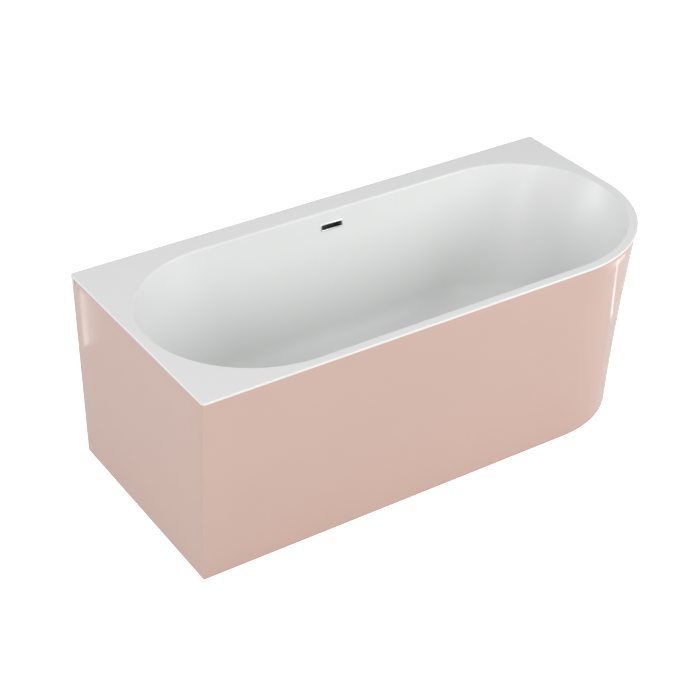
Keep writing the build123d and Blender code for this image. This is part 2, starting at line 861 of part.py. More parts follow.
def elbow_axis():
    y = waste_y + elbow_radius
    return Axis((waste_x, y, outlet_z - elbow_radius), (-1, 0, 0))


def trap_elbow():
    x = waste_x - trap_length
    base = disc(elbow_outer, trap_high - trap_wall, outlet_z - elbow_radius, x, waste_y)
    bend = revolve(elbow_path_face(elbow_outer), elbow_axis(), 90)
    mouth = Plane((x, waste_y + elbow_radius, outlet_z), (1, 0, 0), (0, 1, 0))
    return base + bend + mouth * extrude(Circle(24), amount=28)


def trap_elbow_bore():
    x = waste_x - trap_length
    base = disc(elbow_bore, trap_high - trap_wall - 1, outlet_z - elbow_radius, x, waste_y)
    bend = revolve(elbow_path_face(elbow_bore), elbow_axis(), 90)
    mouth = Plane((x, waste_y + elbow_radius, outlet_z), (1, 0, 0), (0, 1, 0))
    socket = mouth * Pos(0, 0, 8) * extrude(Circle(pipe_radius + 0.3), amount=30)
    return base + bend + mouth * extrude(Circle(elbow_bore), amount=10) + socket


def grip_ring(outer, inner, lip, height, ribs):
    """A union nut: threaded bore, inner lip at local z 0, and moulded grip ribs."""
    ring = turned([
        (lip, 0), (outer - 3, 0), (outer, 3), (outer, height - 1), (outer - 1, height),
        (inner, height), (inner, 4), (lip, 4),
    ])
    rib = Pos(outer, 0, 3) * Box(2.4, 3, height - 4, align=(Align.CENTER, Align.CENTER, Align.MIN))
    return ring + [Rot(0, 0, k * 360 / ribs) * rib for k in range(ribs)]


def make_trap_nut():
    return Pos(waste_x, waste_y, waste_body_bottom - 11) * grip_ring(30, 24.3, 22.3, 20, 12)


def make_trap_cleanout():
    x = waste_x - trap_length
    cap = disc(18, trap_low - 7, trap_low, x, waste_y)
    cap = fillet(cap.edges().sort_by(Axis.Z)[0], 2)
    bar = Pos(x, waste_y, trap_low - 9) * Box(28, 5, 4)
    return cap + bar


def make_outlet_nut():
    y = waste_y + elbow_radius + 16
    plane = Plane((waste_x - trap_length, y + 22, outlet_z), (1, 0, 0), (0, -1, 0))
    return plane * grip_ring(29.5, 24.3, pipe_radius + 0.3, 22, 12)


def make_waste_tail():
    """Plain pipe with a bead that stops it at the mouth of the outlet nut."""
    x = waste_x - trap_length
    start = waste_y + elbow_radius + 10
    pipe = Plane((x, start, outlet_z), (1, 0, 0), (0, 1, 0))
    bead = Plane((x, pipe_bead_y, outlet_z), (1, 0, 0), (0, 1, 0))
    tail = ring_bar(pipe, pipe_radius, pipe_bore, pipe_end_y - start)
    return tail + ring_bar(bead, pipe_radius + 3, pipe_radius - 0.5, 4)


def save_all():
    save(make_bath_shell(), "bath_shell")
    save(make_fibre_backing(), "fibre_backing")
    save(make_casing(), "casing")
    save(make_base_board(), "base_board")
    save(make_rim_batten(), "rim_batten")
    for name, y in rail_places().items():
        save(make_rail(y), f"frame_rail_{name}")
    for name, x in crossbar_places.items():
        save(make_crossbar(x), f"crossbar_{name}")
    for name in ("left", "right"):
        save(make_upright(crossbar_places[name]), f"upright_{name}")
    save(Compound(children=make_casing_brackets()), "casing_brackets")
    save(Compound(children=make_tube_caps()), "tube_caps")
    save(Compound(children=make_board_screws()), "board_screws")
    save(Compound(children=make_batten_screws()), "batten_screws")
    save(Compound(children=make_bracket_screws()), "bracket_screws")
    for name, (x, y) in foot_places().items():
        save(make_foot_rod(x, y), f"foot_rod_{name}")
        save(make_foot_pad(x, y), f"foot_pad_{name}")
    save(Compound(children=make_nuts(rail_bottom)), "weld_nuts")
    save(Compound(children=make_nuts(crossbar_bottom - nut_height)), "lock_nuts")
    save(make_overflow_trim(), "overflow_trim")
    save(make_overflow_gasket(), "overflow_gasket")
    save(make_overflow_body(), "overflow_body")
    save(make_overflow_hose(), "overflow_hose")
    save(make_hose_nut_top(), "hose_nut_top")
    save(make_hose_nut_bottom(), "hose_nut_bottom")
    save(make_waste_flange(), "waste_flange")
    save(make_flange_gasket(), "flange_gasket")
    save(make_body_gasket(), "body_gasket")
    save(make_waste_body(), "waste_body")
    save(make_click_cartridge(), "click_cartridge")
    save(make_plug_stem(), "plug_stem")
    save(make_plug_cap(), "plug_cap")
    save(make_plug_seal(), "plug_seal")
    save(make_trap_body(), "trap_body")
    save(make_trap_nut(), "trap_nut")
    save(make_trap_cleanout(), "trap_cleanout")
    save(make_outlet_nut(), "outlet_nut")
    save(make_waste_tail(), "waste_tail")


save_all()
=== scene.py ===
import json
import math

import bmesh
import bpy
from mathutils import Matrix, Vector


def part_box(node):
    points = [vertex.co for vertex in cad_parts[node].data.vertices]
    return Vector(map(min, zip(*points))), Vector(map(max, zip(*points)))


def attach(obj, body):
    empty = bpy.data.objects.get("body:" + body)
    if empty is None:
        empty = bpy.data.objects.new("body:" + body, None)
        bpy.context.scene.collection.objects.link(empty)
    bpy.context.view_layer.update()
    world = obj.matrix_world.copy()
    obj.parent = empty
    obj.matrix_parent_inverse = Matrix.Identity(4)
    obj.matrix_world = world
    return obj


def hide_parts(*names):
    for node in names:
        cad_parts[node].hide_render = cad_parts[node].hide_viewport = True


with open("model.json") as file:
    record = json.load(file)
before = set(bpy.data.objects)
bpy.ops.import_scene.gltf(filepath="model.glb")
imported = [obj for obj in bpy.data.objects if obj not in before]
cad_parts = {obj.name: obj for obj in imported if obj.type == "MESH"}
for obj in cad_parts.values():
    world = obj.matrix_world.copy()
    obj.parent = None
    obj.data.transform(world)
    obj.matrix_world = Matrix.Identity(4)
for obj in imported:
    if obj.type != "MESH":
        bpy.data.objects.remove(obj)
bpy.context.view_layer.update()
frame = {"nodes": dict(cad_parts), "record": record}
nodes = frame["nodes"]
pi = math.pi

# A back-to-wall corner bath. Metres, X along the bath, +Y to the wall, Z up from the floor.


# Camera, floor and lights

cameraView = {
    "place": (-2.41022, -3.54791, 3.02905),
    "lookAt": (-0.11179, 0.02071, 0.30351),
    "lens": 90.0,
    "sensor": 36.0,
}


def makeCamera():
    data = bpy.data.cameras.new("photoCamera")
    data.lens = cameraView["lens"]
    data.sensor_width = cameraView["sensor"]
    camera = bpy.data.objects.new("photoCamera", data)
    place = Vector(cameraView["place"])
    look = Vector(cameraView["lookAt"]) - place
    camera.location = place
    camera.rotation_euler = look.to_track_quat("-Z", "Y").to_euler()
    bpy.context.scene.collection.objects.link(camera)
    bpy.context.scene.camera = camera


studioLights = {
    "overhead": {"place": (0.0, 0.0, 3.4), "size": (3.2, 2.2), "power": 20.5},
    "frontLeft": {"place": (-3.2, -3.2, 2.0), "size": (2.0, 2.0), "power": 52.0},
    "frontRight": {"place": (3.2, -3.2, 2.0), "size": (2.0, 2.0), "power": 104.0},
    "backLeft": {"place": (-3.2, 3.2, 2.0), "size": (2.0, 2.0), "power": 65.0},
    "highFront": {"place": (0.0, -3.6, 2.6), "size": (4.0, 2.0), "power": 30.0},
    "highLeft": {"place": (-3.6, -0.8, 2.6), "size": (2.6, 2.0), "power": 22.3},
}
lightsAim = (0.0, 0.0, 0.4)
# slim lamps low behind the bath, which the gloss shows as bright lines
stripLights = {
    "stripRight": {
        "ends": ((1.36, -0.37, 0.03), (1.05, -0.22, 0.03)),
        "width": 0.035, "glow": 2.2, "aim": (0.56, -0.33, 0.44),
    },
    "stripRightTop": {
        "ends": ((1.22, -0.66, 0.03), (1.43, -0.14, 0.03)),
        "width": 0.035, "glow": 1.5, "aim": (0.55, -0.35, 0.57),
    },
    "stripLeft": {
        "ends": ((-1.16, 1.20, 0.03), (-1.02, 0.86, 0.03)),
        "width": 0.026, "glow": 1.7, "aim": (-0.80, 0.33, 0.47),
    },
}
worldGlow = 0.31  # even light from all round
floorTone = 0.90
floorLift = 0.80  # the floor's own glow, as the camera sees it
floorSheen = 0.10  # the same, as gloss and glass see it
floorReach = 30.0


def makeLights():
    for name, light in studioLights.items():
        data = bpy.data.lights.new(name, "AREA")
        data.shape = "RECTANGLE"
        data.size, data.size_y = light["size"]
        data.energy = light["power"]
        lamp = bpy.data.objects.new(name, data)
        lamp.location = light["place"]
        aim = Vector(lightsAim) - Vector(light["place"])
        lamp.rotation_euler = aim.to_track_quat("-Z", "Y").to_euler()
        bpy.context.scene.collection.objects.link(lamp)
    for name, light in stripLights.items():
        start, end = Vector(light["ends"][0]), Vector(light["ends"][1])
        data = bpy.data.lights.new(name, "AREA")
        data.shape = "RECTANGLE"
        data.size, data.size_y = (end - start).length, light["width"]
        data.energy = light["glow"] * pi * data.size * data.size_y
        lamp = bpy.data.objects.new(name, data)
        along = (end - start).normalized()
        away = (start + end) / 2 - Vector(light["aim"])
        away = (away - along * away.dot(along)).normalized()
        turn = Matrix((along, away.cross(along), away)).transposed().to_4x4()
        lamp.matrix_world = Matrix.Translation((start + end) / 2) @ turn
        lamp.visible_camera = False
        bpy.context.scene.collection.objects.link(lamp)


def glowByRay(tree, others, mirrored, seen):
    # strength for ordinary rays, for those seen in gloss or through glass, and for the camera's own
    rays = tree.nodes.new("ShaderNodeLightPath")
    strength = others
    kinds = (("Is Glossy Ray", mirrored), ("Is Transmission Ray", mirrored), ("Is Camera Ray", seen))
    for kind, value in kinds:
        pick = tree.nodes.new("ShaderNodeMix")
        tree.links.new(rays.outputs[kind], pick.inputs["Factor"])
        pick.inputs["A"].default_value = others
        if strength is not others:
            tree.links.new(strength, pick.inputs["A"])
        pick.inputs["B"].default_value = value
        strength = pick.outputs["Result"]
    return strength


def makeWorld():
    # even grey light on the object, pure white where the camera, gloss or glass looks past it
    world = bpy.data.worlds.new("studio")
    bpy.context.scene.world = world
    world.use_nodes = True
    tree = world.node_tree
    glow = tree.nodes["Background"]
    glow.inputs["Color"].default_value = (1.0, 1.0, 1.0, 1.0)
    tree.links.new(glowByRay(tree, worldGlow, 1.0, 1.0), glow.inputs["Strength"])


def makeFloor():
    mesh = bpy.data.meshes.new("studioFloor")
    corners = [(x * floorReach, y * floorReach, 0) for x, y in ((-1, -1), (1, -1), (1, 1), (-1, 1))]
    mesh.from_pydata(corners, [], [(0, 1, 2, 3)])
    floor = bpy.data.objects.new("studioFloor", mesh)
    bpy.context.scene.collection.objects.link(floor)
    finish = bpy.data.materials.new("paleFloor")
    finish.use_nodes = True
    tree = finish.node_tree
    paint = tree.nodes["Principled BSDF"]
    paint.inputs["Base Color"].default_value = (floorTone, floorTone, floorTone, 1)
    paint.inputs["Roughness"].default_value = 0.9
    paint.inputs["Specular IOR Level"].default_value = 0.1
    # a little light of its own lifts the open floor to white and leaves the soft shadow
    paint.inputs["Emission Color"].default_value = (1, 1, 1, 1)
    tree.links.new(glowByRay(tree, 0.0, floorSheen, floorLift), paint.inputs["Emission Strength"])
    mesh.materials.append(finish)


bpy.context.scene.view_settings.view_transform = "Standard"
makeCamera()
makeLights()
makeWorld()
makeFloor()
print("stage: camera, lights and floor")


# Materials. Every pattern reads Object coordinates, in metres


def startMaterial(name, colour, roughness, metallic=0.0):
    material = bpy.data.materials.new(name)
    material.use_nodes = True
    tree = material.node_tree
    shader = tree.nodes["Principled BSDF"]
    shader.inputs["Base Color"].default_value = (*colour, 1)
    shader.inputs["Roughness"].default_value = roughness
    shader.inputs["Metallic"].default_value = metallic
    where = tree.nodes.new("ShaderNodeTexCoord").outputs["Object"]
    return material, tree, shader, where


def noise(tree, where, scale, detail=3.0, stretch=(1, 1, 1)):
    spread = tree.nodes.new("ShaderNodeMapping")
    spread.inputs["Scale"].default_value = stretch
    tree.links.new(where, spread.inputs["Vector"])
    texture = tree.nodes.new("ShaderNodeTexNoise")
    texture.inputs["Scale"].default_value = scale
    texture.inputs["Detail"].default_value = detail
    tree.links.new(spread.outputs["Vector"], texture.inputs["Vector"])
    return texture.outputs["Fac"]


def cells(tree, where, scale, output="Color", feature="F1", stretch=(1, 1, 1)):
    spread = tree.nodes.new("ShaderNodeMapping")
    spread.inputs["Scale"].default_value = stretch
    tree.links.new(where, spread.inputs["Vector"])
    texture = tree.nodes.new("ShaderNodeTexVoronoi")
    texture.feature = feature
    texture.inputs["Scale"].default_value = scale
    tree.links.new(spread.outputs["Vector"], texture.inputs["Vector"])
    return texture.outputs[output]


def ramp(tree, source, stops):
    node = tree.nodes.new("ShaderNodeValToRGB")
    elements = node.color_ramp.elements
    while len(elements) < len(stops):
        elements.new(0.5)
    for element, (place, colour) in zip(elements, stops):
        element.position = place
        element.color = (*colour, 1)
    tree.links.new(source, node.inputs["Fac"])
    return node.outputs["Color"]


def span(tree, source, low, high, fromLow=0.3, fromHigh=0.7):
    node = tree.nodes.new("ShaderNodeMapRange")
    node.inputs["From Min"].default_value = fromLow
    node.inputs["From Max"].default_value = fromHigh
    node.inputs["To Min"].default_value = low
    node.inputs["To Max"].default_value = high
    tree.links.new(source, node.inputs["Value"])
    return node.outputs["Result"]


def addUp(tree, first, second, operation="ADD"):
    node = tree.nodes.new("ShaderNodeMath")
    node.operation = operation
    tree.links.new(first, node.inputs[0])
    tree.links.new(second, node.inputs[1])
    return node.outputs[0]


def bump(tree, shader, height, strength, distance):
    node = tree.nodes.new("ShaderNodeBump")
    node.inputs["Strength"].default_value = strength
    node.inputs["Distance"].default_value = distance
    tree.links.new(height, node.inputs["Height"])
    tree.links.new(node.outputs["Normal"], shader.inputs["Normal"])


def shade(colour, factor):
    return tuple(min(part * factor, 1.0) for part in colour)


def castAcrylic(name, colour, look):
    # cast sheet, vacuum formed: nearly even colour, deep gloss with a faint ripple
    material, tree, shader, where = startMaterial(name, colour, look["gloss"])
    drift = noise(tree, where, 1.7, 2)
    dark, light = shade(colour, 1 - look["drift"]), shade(colour, 1 + look["drift"])
    tint = ramp(tree, drift, [(0.35, dark), (0.65, light)])
    tree.links.new(tint, shader.inputs["Base Color"])
    wiped = noise(tree, where, 26, 4, (1, 1, 0.35))
    tree.links.new(span(tree, wiped, look["gloss"] * 0.86, look["gloss"] * 1.2), shader.inputs["Roughness"])
    ripple = noise(tree, where, look["rippleScale"], 1)
    bump(tree, shader, ripple, look["ripple"], 0.002)
    shader.inputs["IOR"].default_value = 1.49
    shader.inputs["Coat Weight"].default_value = look["coat"]
    shader.inputs["Coat Roughness"].default_value = 0.03
    return material


whiteLook = {"gloss": 0.34, "drift": 0.006, "ripple": 0.03, "rippleScale": 22.0, "coat": 0.0}
pinkLook = {"gloss": 0.12, "drift": 0.010, "ripple": 0.02, "rippleScale": 14.0, "coat": 0.1}


def glassFibreMaterial():
    # chopped strands laid in resin: pale streaks at all angles, milky and half gloss
    material, tree, shader, where = startMaterial("glassFibre", (0.66, 0.64, 0.55), 0.5)
    oneWay = noise(tree, where, 70, 4, (0.8, 5.0, 1.2))
    otherWay = noise(tree, where, 76, 4, (5.0, 1.0, 2.2))
    upright = noise(tree, where, 72, 4, (3.2, 3.2, 0.5))
    strands = addUp(tree, addUp(tree, oneWay, otherWay, "MAXIMUM"), upright, "MAXIMUM")
    resin = span(tree, noise(tree, where, 5, 2), -0.03, 0.03)
    tone = addUp(tree, strands, resin)
    tint = ramp(tree, tone, [
        (0.46, (0.62, 0.58, 0.47)), (0.58, (0.72, 0.69, 0.59)), (0.72, (0.81, 0.79, 0.72)),
    ])
    tree.links.new(tint, shader.inputs["Base Color"])
    tree.links.new(span(tree, strands, 0.55, 0.34, 0.5, 0.75), shader.inputs["Roughness"])
    lumps = addUp(tree, strands, span(tree, noise(tree, where, 45, 3), 0, 0.5))
    bump(tree, shader, lumps, 0.6, 0.0012)
    return material


def particleBoardMaterial():
    # pressed chips, each a shade of its own, with dark gaps and a faint saw mark
    material, tree, shader, where = startMaterial("particleBoard", (0.55, 0.40, 0.24), 0.8)
    chips = cells(tree, where, 150, "Color", "F1", (1.0, 1.0, 2.2))
    pick = tree.nodes.new("ShaderNodeSeparateColor")
    tree.links.new(chips, pick.inputs["Color"])
    tint = ramp(tree, pick.outputs["Red"], [
        (0.0, (0.30, 0.19, 0.10)), (0.3, (0.52, 0.37, 0.21)),
        (0.7, (0.62, 0.47, 0.29)), (1.0, (0.74, 0.60, 0.41)),
    ])
    tree.links.new(tint, shader.inputs["Base Color"])
    tree.links.new(span(tree, pick.outputs["Green"], 0.70, 0.88, 0, 1), shader.inputs["Roughness"])
    gaps = cells(tree, where, 150, "Distance", "DISTANCE_TO_EDGE", (1.0, 1.0, 2.2))
    bump(tree, shader, gaps, 0.5, 0.0010)
    return material


def softwoodMaterial():
    # sawn pine: growth rings seen along the grain, darker late wood, fine saw fuzz
    material, tree, shader, where = startMaterial("softwood", (0.70, 0.50, 0.28), 0.7)
    spread = tree.nodes.new("ShaderNodeMapping")
    spread.inputs["Scale"].default_value = (0.05, 1.0, 1.0)
    spread.inputs["Location"].default_value = (0, 0.06, 0.1)
    tree.links.new(where, spread.inputs["Vector"])
    rings = tree.nodes.new("ShaderNodeTexWave")
    rings.wave_type = "RINGS"
    rings.rings_direction = "X"
    rings.inputs["Scale"].default_value = 62
    rings.inputs["Distortion"].default_value = 5
    rings.inputs["Detail"].default_value = 3
    rings.inputs["Detail Scale"].default_value = 0.6
    tree.links.new(spread.outputs["Vector"], rings.inputs["Vector"])
    tint = ramp(tree, rings.outputs["Fac"], [
        (0.0, (0.66, 0.46, 0.25)), (0.6, (0.72, 0.54, 0.32)),
        (0.9, (0.50, 0.30, 0.14)), (1.0, (0.42, 0.24, 0.10)),
    ])
    tree.links.new(tint, shader.inputs["Base Color"])
    fuzz = noise(tree, where, 260, 4, (0.08, 1, 1))
    tree.links.new(span(tree, fuzz, 0.60, 0.82), shader.inputs["Roughness"])
    bump(tree, shader, addUp(tree, fuzz, rings.outputs["Fac"]), 0.35, 0.0006)
    return material


def galvanisedMaterial():
    # hot dip zinc: spangle crystals of mixed grey, some dulled by white bloom
    material, tree, shader, where = startMaterial("galvanisedSteel", (0.55, 0.56, 0.57), 0.42, 0.9)
    crystals = cells(tree, where, 95, "Color")
    pick = tree.nodes.new("ShaderNodeSeparateColor")
    tree.links.new(crystals, pick.inputs["Color"])
    bloom = noise(tree, where, 9, 4)
    tone = addUp(tree, span(tree, pick.outputs["Red"], 0.0, 0.5, 0, 1), span(tree, bloom, 0, 0.5))
    tint = ramp(tree, tone, [(0.0, (0.40, 0.42, 0.44)), (0.5, (0.55, 0.56, 0.58)), (1.0, (0.70, 0.70, 0.70))])
    tree.links.new(tint, shader.inputs["Base Color"])
    tree.links.new(span(tree, tone, 0.30, 0.56, 0, 1), shader.inputs["Roughness"])
    bump(tree, shader, pick.outputs["Green"], 0.12, 0.0003)
    return material


def zincMaterial():
    # bright zinc plate: pale metal with a fine turned grain
    material, tree, shader, where = startMaterial("zincFastener", (0.68, 0.67, 0.62), 0.3, 1.0)
    stain = noise(tree, where, 55, 3)
    tint = ramp(tree, stain, [(0.3, (0.58, 0.57, 0.52)), (0.7, (0.76, 0.76, 0.73))])
    tree.links.new(tint, shader.inputs["Base Color"])
    grain = noise(tree, where, 600, 2, (1, 1, 5))
    tree.links.new(span(tree, grain, 0.22, 0.42), shader.inputs["Roughness"])
    bump(tree, shader, grain, 0.15, 0.0002)
    return material


def mouldedPlastic(name, colour, roughness, grainScale=480.0, grain=0.12):
    # injection moulding: fine spark texture, slight flow marks
    material, tree, shader, where = startMaterial(name, colour, roughness)
    flow = noise(tree, where, 18, 3, (1, 1, 0.4))
    tint = ramp(tree, flow, [(0.3, shade(colour, 0.93)), (0.7, shade(colour, 1.06))])
    tree.links.new(tint, shader.inputs["Base Color"])
    spark = noise(tree, where, grainScale, 2)
    tree.links.new(span(tree, spark, roughness * 0.8, roughness * 1.2), shader.inputs["Roughness"])
    bump(tree, shader, spark, grain, 0.0003)
    return material


def chromeMaterial():
    # polished plate with the faintest smears
    material, tree, shader, where = startMaterial("chrome", (0.82, 0.83, 0.84), 0.06, 1.0)
    smear = noise(tree, where, 70, 4, (1, 1, 0.3))
    tint = ramp(tree, smear, [(0.3, (0.78, 0.79, 0.80)), (0.7, (0.86, 0.87, 0.88))])
    tree.links.new(tint, shader.inputs["Base Color"])
    tree.links.new(span(tree, smear, 0.035, 0.10), shader.inputs["Roughness"])
    bump(tree, shader, smear, 0.02, 0.0003)
    return material


def rubberMaterial():
    material, tree, shader, where = startMaterial("rubber", (0.022, 0.022, 0.023), 0.72)
    dust = noise(tree, where, 120, 4)
    tint = ramp(tree, dust, [(0.4, (0.018, 0.018, 0.019)), (0.8, (0.045, 0.044, 0.042))])
    tree.links.new(tint, shader.inputs["Base Color"])
    tree.links.new(span(tree, dust, 0.60, 0.85), shader.inputs["Roughness"])
    bump(tree, shader, dust, 0.2, 0.0002)
    return material


finishes = {
    "white_acrylic": castAcrylic("whiteAcrylic", (0.733, 0.741, 0.734), whiteLook),
    "pink_acrylic": castAcrylic("pinkAcrylic", (0.548, 0.386, 0.331), pinkLook),
    "glass_fibre": glassFibreMaterial(),
    "particle_board": particleBoardMaterial(),
    "softwood": softwoodMaterial(),
    "galvanised_steel": galvanisedMaterial(),
    "zinc_fastener": zincMaterial(),
    "black_plastic": mouldedPlastic("blackPlastic", (0.028, 0.028, 0.030), 0.42),
    "white_plastic": mouldedPlastic("whitePlastic", (0.74, 0.74, 0.71), 0.38),
    "grey_plastic": mouldedPlastic("greyPlastic", (0.34, 0.35, 0.36), 0.40),
    "chrome": chromeMaterial(),
    "rubber": rubberMaterial(),
}
slotOf = {part["node"]: part["material_slot"] for part in frame["record"]["subparts"]}
print("stage: materials")


# Mesh helpers


def newPiece(name, mesh, material, *more):
    piece = bpy.data.objects.new(name, mesh)
    bpy.context.scene.collection.objects.link(piece)
    mesh.materials.clear()
    for finish in (material, *more):
        mesh.materials.append(finish)
    return piece


def applyModifiers(piece):
    graph = bpy.context.evaluated_depsgraph_get()
    mesh = bpy.data.meshes.new_from_object(piece.evaluated_get(graph))
    piece.modifiers.clear()
    old = piece.data
    piece.data = mesh
    bpy.data.meshes.remove(old)
    return piece


def smoothUnder(mesh, degrees):
    mesh.shade_smooth()
    mesh.set_sharp_from_angle(angle=math.radians(degrees))


def placePiece(piece, body, slot, *replaced):
    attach(piece, body)
    if replaced:
        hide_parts(*replaced)


def bridge(faces, first, second, count, closed=True):
    # quads between two rings of vertex numbers
    for k in range(count if closed else count - 1):
        after = (k + 1) % count
        faces.append((first + k, first + after, second + after, second + k))


def fillBetween(mesh, outer, inner):
    # triangles over the flat land between two closed loops of vertex numbers
    build = bmesh.new()
    build.from_mesh(mesh)
    build.verts.ensure_lookup_table()
    edges = []
    for loop in (outer, inner):
        for k, number in enumerate(loop):
            pair = (build.verts[number], build.verts[loop[(k + 1) % len(loop)]])
            edges.append(build.edges.get(pair) or build.edges.new(pair))
    bmesh.ops.triangle_fill(build, edges=edges, use_beauty=True, use_dissolve=False)
    build.to_mesh(mesh)
    build.free()


def faceOutwards(mesh):
    build = bmesh.new()
    build.from_mesh(mesh)
    bmesh.ops.remove_doubles(build, verts=build.verts, dist=1e-6)
    bmesh.ops.recalc_face_normals(build, faces=build.faces)
    build.to_mesh(mesh)
    build.free()


def arcPoints(centre, radius, start, turn, steps, includeEnd=True):
    count = steps + 1 if includeEnd else steps
    angles = [math.radians(start + turn * k / steps) for k in range(count)]
    return [(centre[0] + radius * math.cos(a), centre[1] + radius * math.sin(a)) for a in angles]


# Geometry node helpers


def startTree(name, sizes, parts=()):
    # a tree that takes a geometry, named sizes, template parts and a finish
    tree = bpy.data.node_groups.new(name, "GeometryNodeTree")
    tree.is_modifier = True
    face = tree.interface
    face.new_socket("Geometry", in_out="INPUT", socket_type="NodeSocketGeometry")
    for label, value in sizes.items():
        kind = "NodeSocketInt" if isinstance(value, int) else "NodeSocketFloat"
        face.new_socket(label, in_out="INPUT", socket_type=kind).default_value = value
    for label in parts:
        face.new_socket(label, in_out="INPUT", socket_type="NodeSocketObject")
    face.new_socket("Finish", in_out="INPUT", socket_type="NodeSocketMaterial")
    face.new_socket("Geometry", in_out="OUTPUT", socket_type="NodeSocketGeometry")
    return tree, tree.nodes.new("NodeGroupInput").outputs


def addNode(tree, kind, inputs, output=0, **settings):
    node = tree.nodes.new(kind)
    for name, value in settings.items():
        setattr(node, name, value)
    for name, value in inputs.items():
        if isinstance(value, bpy.types.NodeSocket):
            tree.links.new(value, node.inputs[name])
        else:
            node.inputs[name].default_value = value
    return node.outputs[output]


def calc(tree, operation, first, second=0.0):
    return addNode(tree, "ShaderNodeMath", {0: first, 1: second}, operation=operation)


def vector(tree, x=0.0, y=0.0, z=0.0):
    return addNode(tree, "ShaderNodeCombineXYZ", {0: x, 1: y, 2: z})


def chance(tree, least, most, seed):
    # a number for each point, between two bounds
    values = {2: least, 3: most, "Seed": seed}
    return addNode(tree, "FunctionNodeRandomValue", values, 1, data_type="FLOAT")


def moved(tree, geometry, place):
    return addNode(tree, "GeometryNodeTransform", {"Geometry": geometry, "Translation": place})


def resampled(tree, curve, step):
    return addNode(tree, "GeometryNodeResampleCurve", {"Curve": curve, "Length": step}, mode="LENGTH")


def joined(tree, *parts):
    node = tree.nodes.new("GeometryNodeJoinGeometry")
    for part in parts:
        tree.links.new(part, node.inputs[0])
    return node.outputs[0]


def endTree(tree, geometry, finish):
    real = addNode(tree, "GeometryNodeRealizeInstances", {"Geometry": geometry})
    painted = addNode(tree, "GeometryNodeSetMaterial", {"Geometry": real, "Material": finish})
    leave = tree.nodes.new("NodeGroupOutput")
    tree.links.new(painted, leave.inputs[0])
    for k, node in enumerate(tree.nodes):
        node.location = (190 * (k % 12), -220 * (k // 12))
    return tree


def grow(name, source, tree, values, finish):
    # runs a tree on a mesh or curve and keeps the plain mesh
    grower = bpy.data.objects.new(name + "Grower", source)
    bpy.context.scene.collection.objects.link(grower)
    change = grower.modifiers.new("grow", "NODES")
    change.node_group = tree
    for item in tree.interface.items_tree:
        if item.item_type == "SOCKET" and item.in_out == "INPUT":
            if item.name == "Finish":
                change[item.identifier] = finish
            elif item.name in values:
                change[item.identifier] = values[item.name]
    graph = bpy.context.evaluated_depsgraph_get()
    mesh = bpy.data.meshes.new_from_object(grower.evaluated_get(graph))
    grower.modifiers.clear()
    bpy.data.objects.remove(grower)
    mesh.name = name
    return newPiece(name, mesh, finish)


def pointCloud(name, places):
    mesh = bpy.data.meshes.new(name)
    mesh.from_pydata([tuple(place) for place in places], [], [])
    return mesh


def closedCurve(name, runs):
    # one curve of closed straight-sided loops
    curve = bpy.data.curves.new(name, "CURVE")
    curve.dimensions = "3D"
    for run in runs:
        spline = curve.splines.new("POLY")
        spline.points.add(len(run) - 1)
        spline.use_cyclic_u = True
        for point, place in zip(spline.points, run):
            point.co = (*place, 1)
    return curve


def turnedMesh(name, profile, steps=48):
    # (radius, height) corners turned about Z; a radius of 0 closes an end
    verts, faces, starts = [], [], []
    for radius, z in profile:
        starts.append(len(verts))
        if radius == 0:
            verts.append((0, 0, z))
        else:
            verts += [(x, y, z) for x, y in arcPoints((0, 0), radius, 0, 360, steps, False)]
    for k in range(len(profile) - 1):
        a, b = starts[k], starts[k + 1]
        for n in range(steps):
            m = (n + 1) % steps
            if profile[k][0] == 0:
                faces.append((a, b + m, b + n))
            elif profile[k + 1][0] == 0:
                faces.append((a + n, a + m, b))
            else:
                faces.append((a + n, a + m, b + m, b + n))
    if profile[0][0] > 0 and profile[-1][0] > 0:
        bridge(faces, starts[-1], starts[0], steps)
    mesh = bpy.data.meshes.new(name)
    mesh.from_pydata(verts, [], faces)
    faceOutwards(mesh)
    return mesh


def makeRepeatTree():
    # one copy of a part on every point, tilted alike and turned by chance about its own axis
    tree, sizes = startTree("repeatOnPoints", {"Tilt": 0.0, "Spin": 0.0, "Seed": 1}, ["Part"])
    part = addNode(tree, "GeometryNodeObjectInfo", {"Object": sizes["Part"]}, "Geometry")
    # its own turn comes first, then the tilt that all share
    spin = chance(tree, 0.0, sizes["Spin"], sizes["Seed"])
    own = addNode(tree, "FunctionNodeEulerToRotation", {0: vector(tree, z=spin)})
    shared = addNode(tree, "FunctionNodeEulerToRotation", {0: vector(tree, x=sizes["Tilt"])})
    turn = addNode(tree, "FunctionNodeRotateRotation", {0: shared, 1: own}, rotation_space="LOCAL")
    points = addNode(tree, "GeometryNodeMeshToPoints", {"Mesh": sizes["Geometry"]})
    spread = {"Points": points, "Instance": part, "Rotation": turn}
    copies = addNode(tree, "GeometryNodeInstanceOnPoints", spread)
    return endTree(tree, copies, sizes["Finish"])


repeatTree = makeRepeatTree()


def repeat(name, partMesh, places, finish, tilt=0.0, spin=2 * pi, seed=1):
    part = newPiece(name + "Part", partMesh, finish)
    cloud = pointCloud(name + "Places", places)
    piece = grow(name, cloud, repeatTree, {"Tilt": tilt, "Spin": spin, "Seed": seed, "Part": part}, finish)
    bpy.data.objects.remove(part)
    return piece


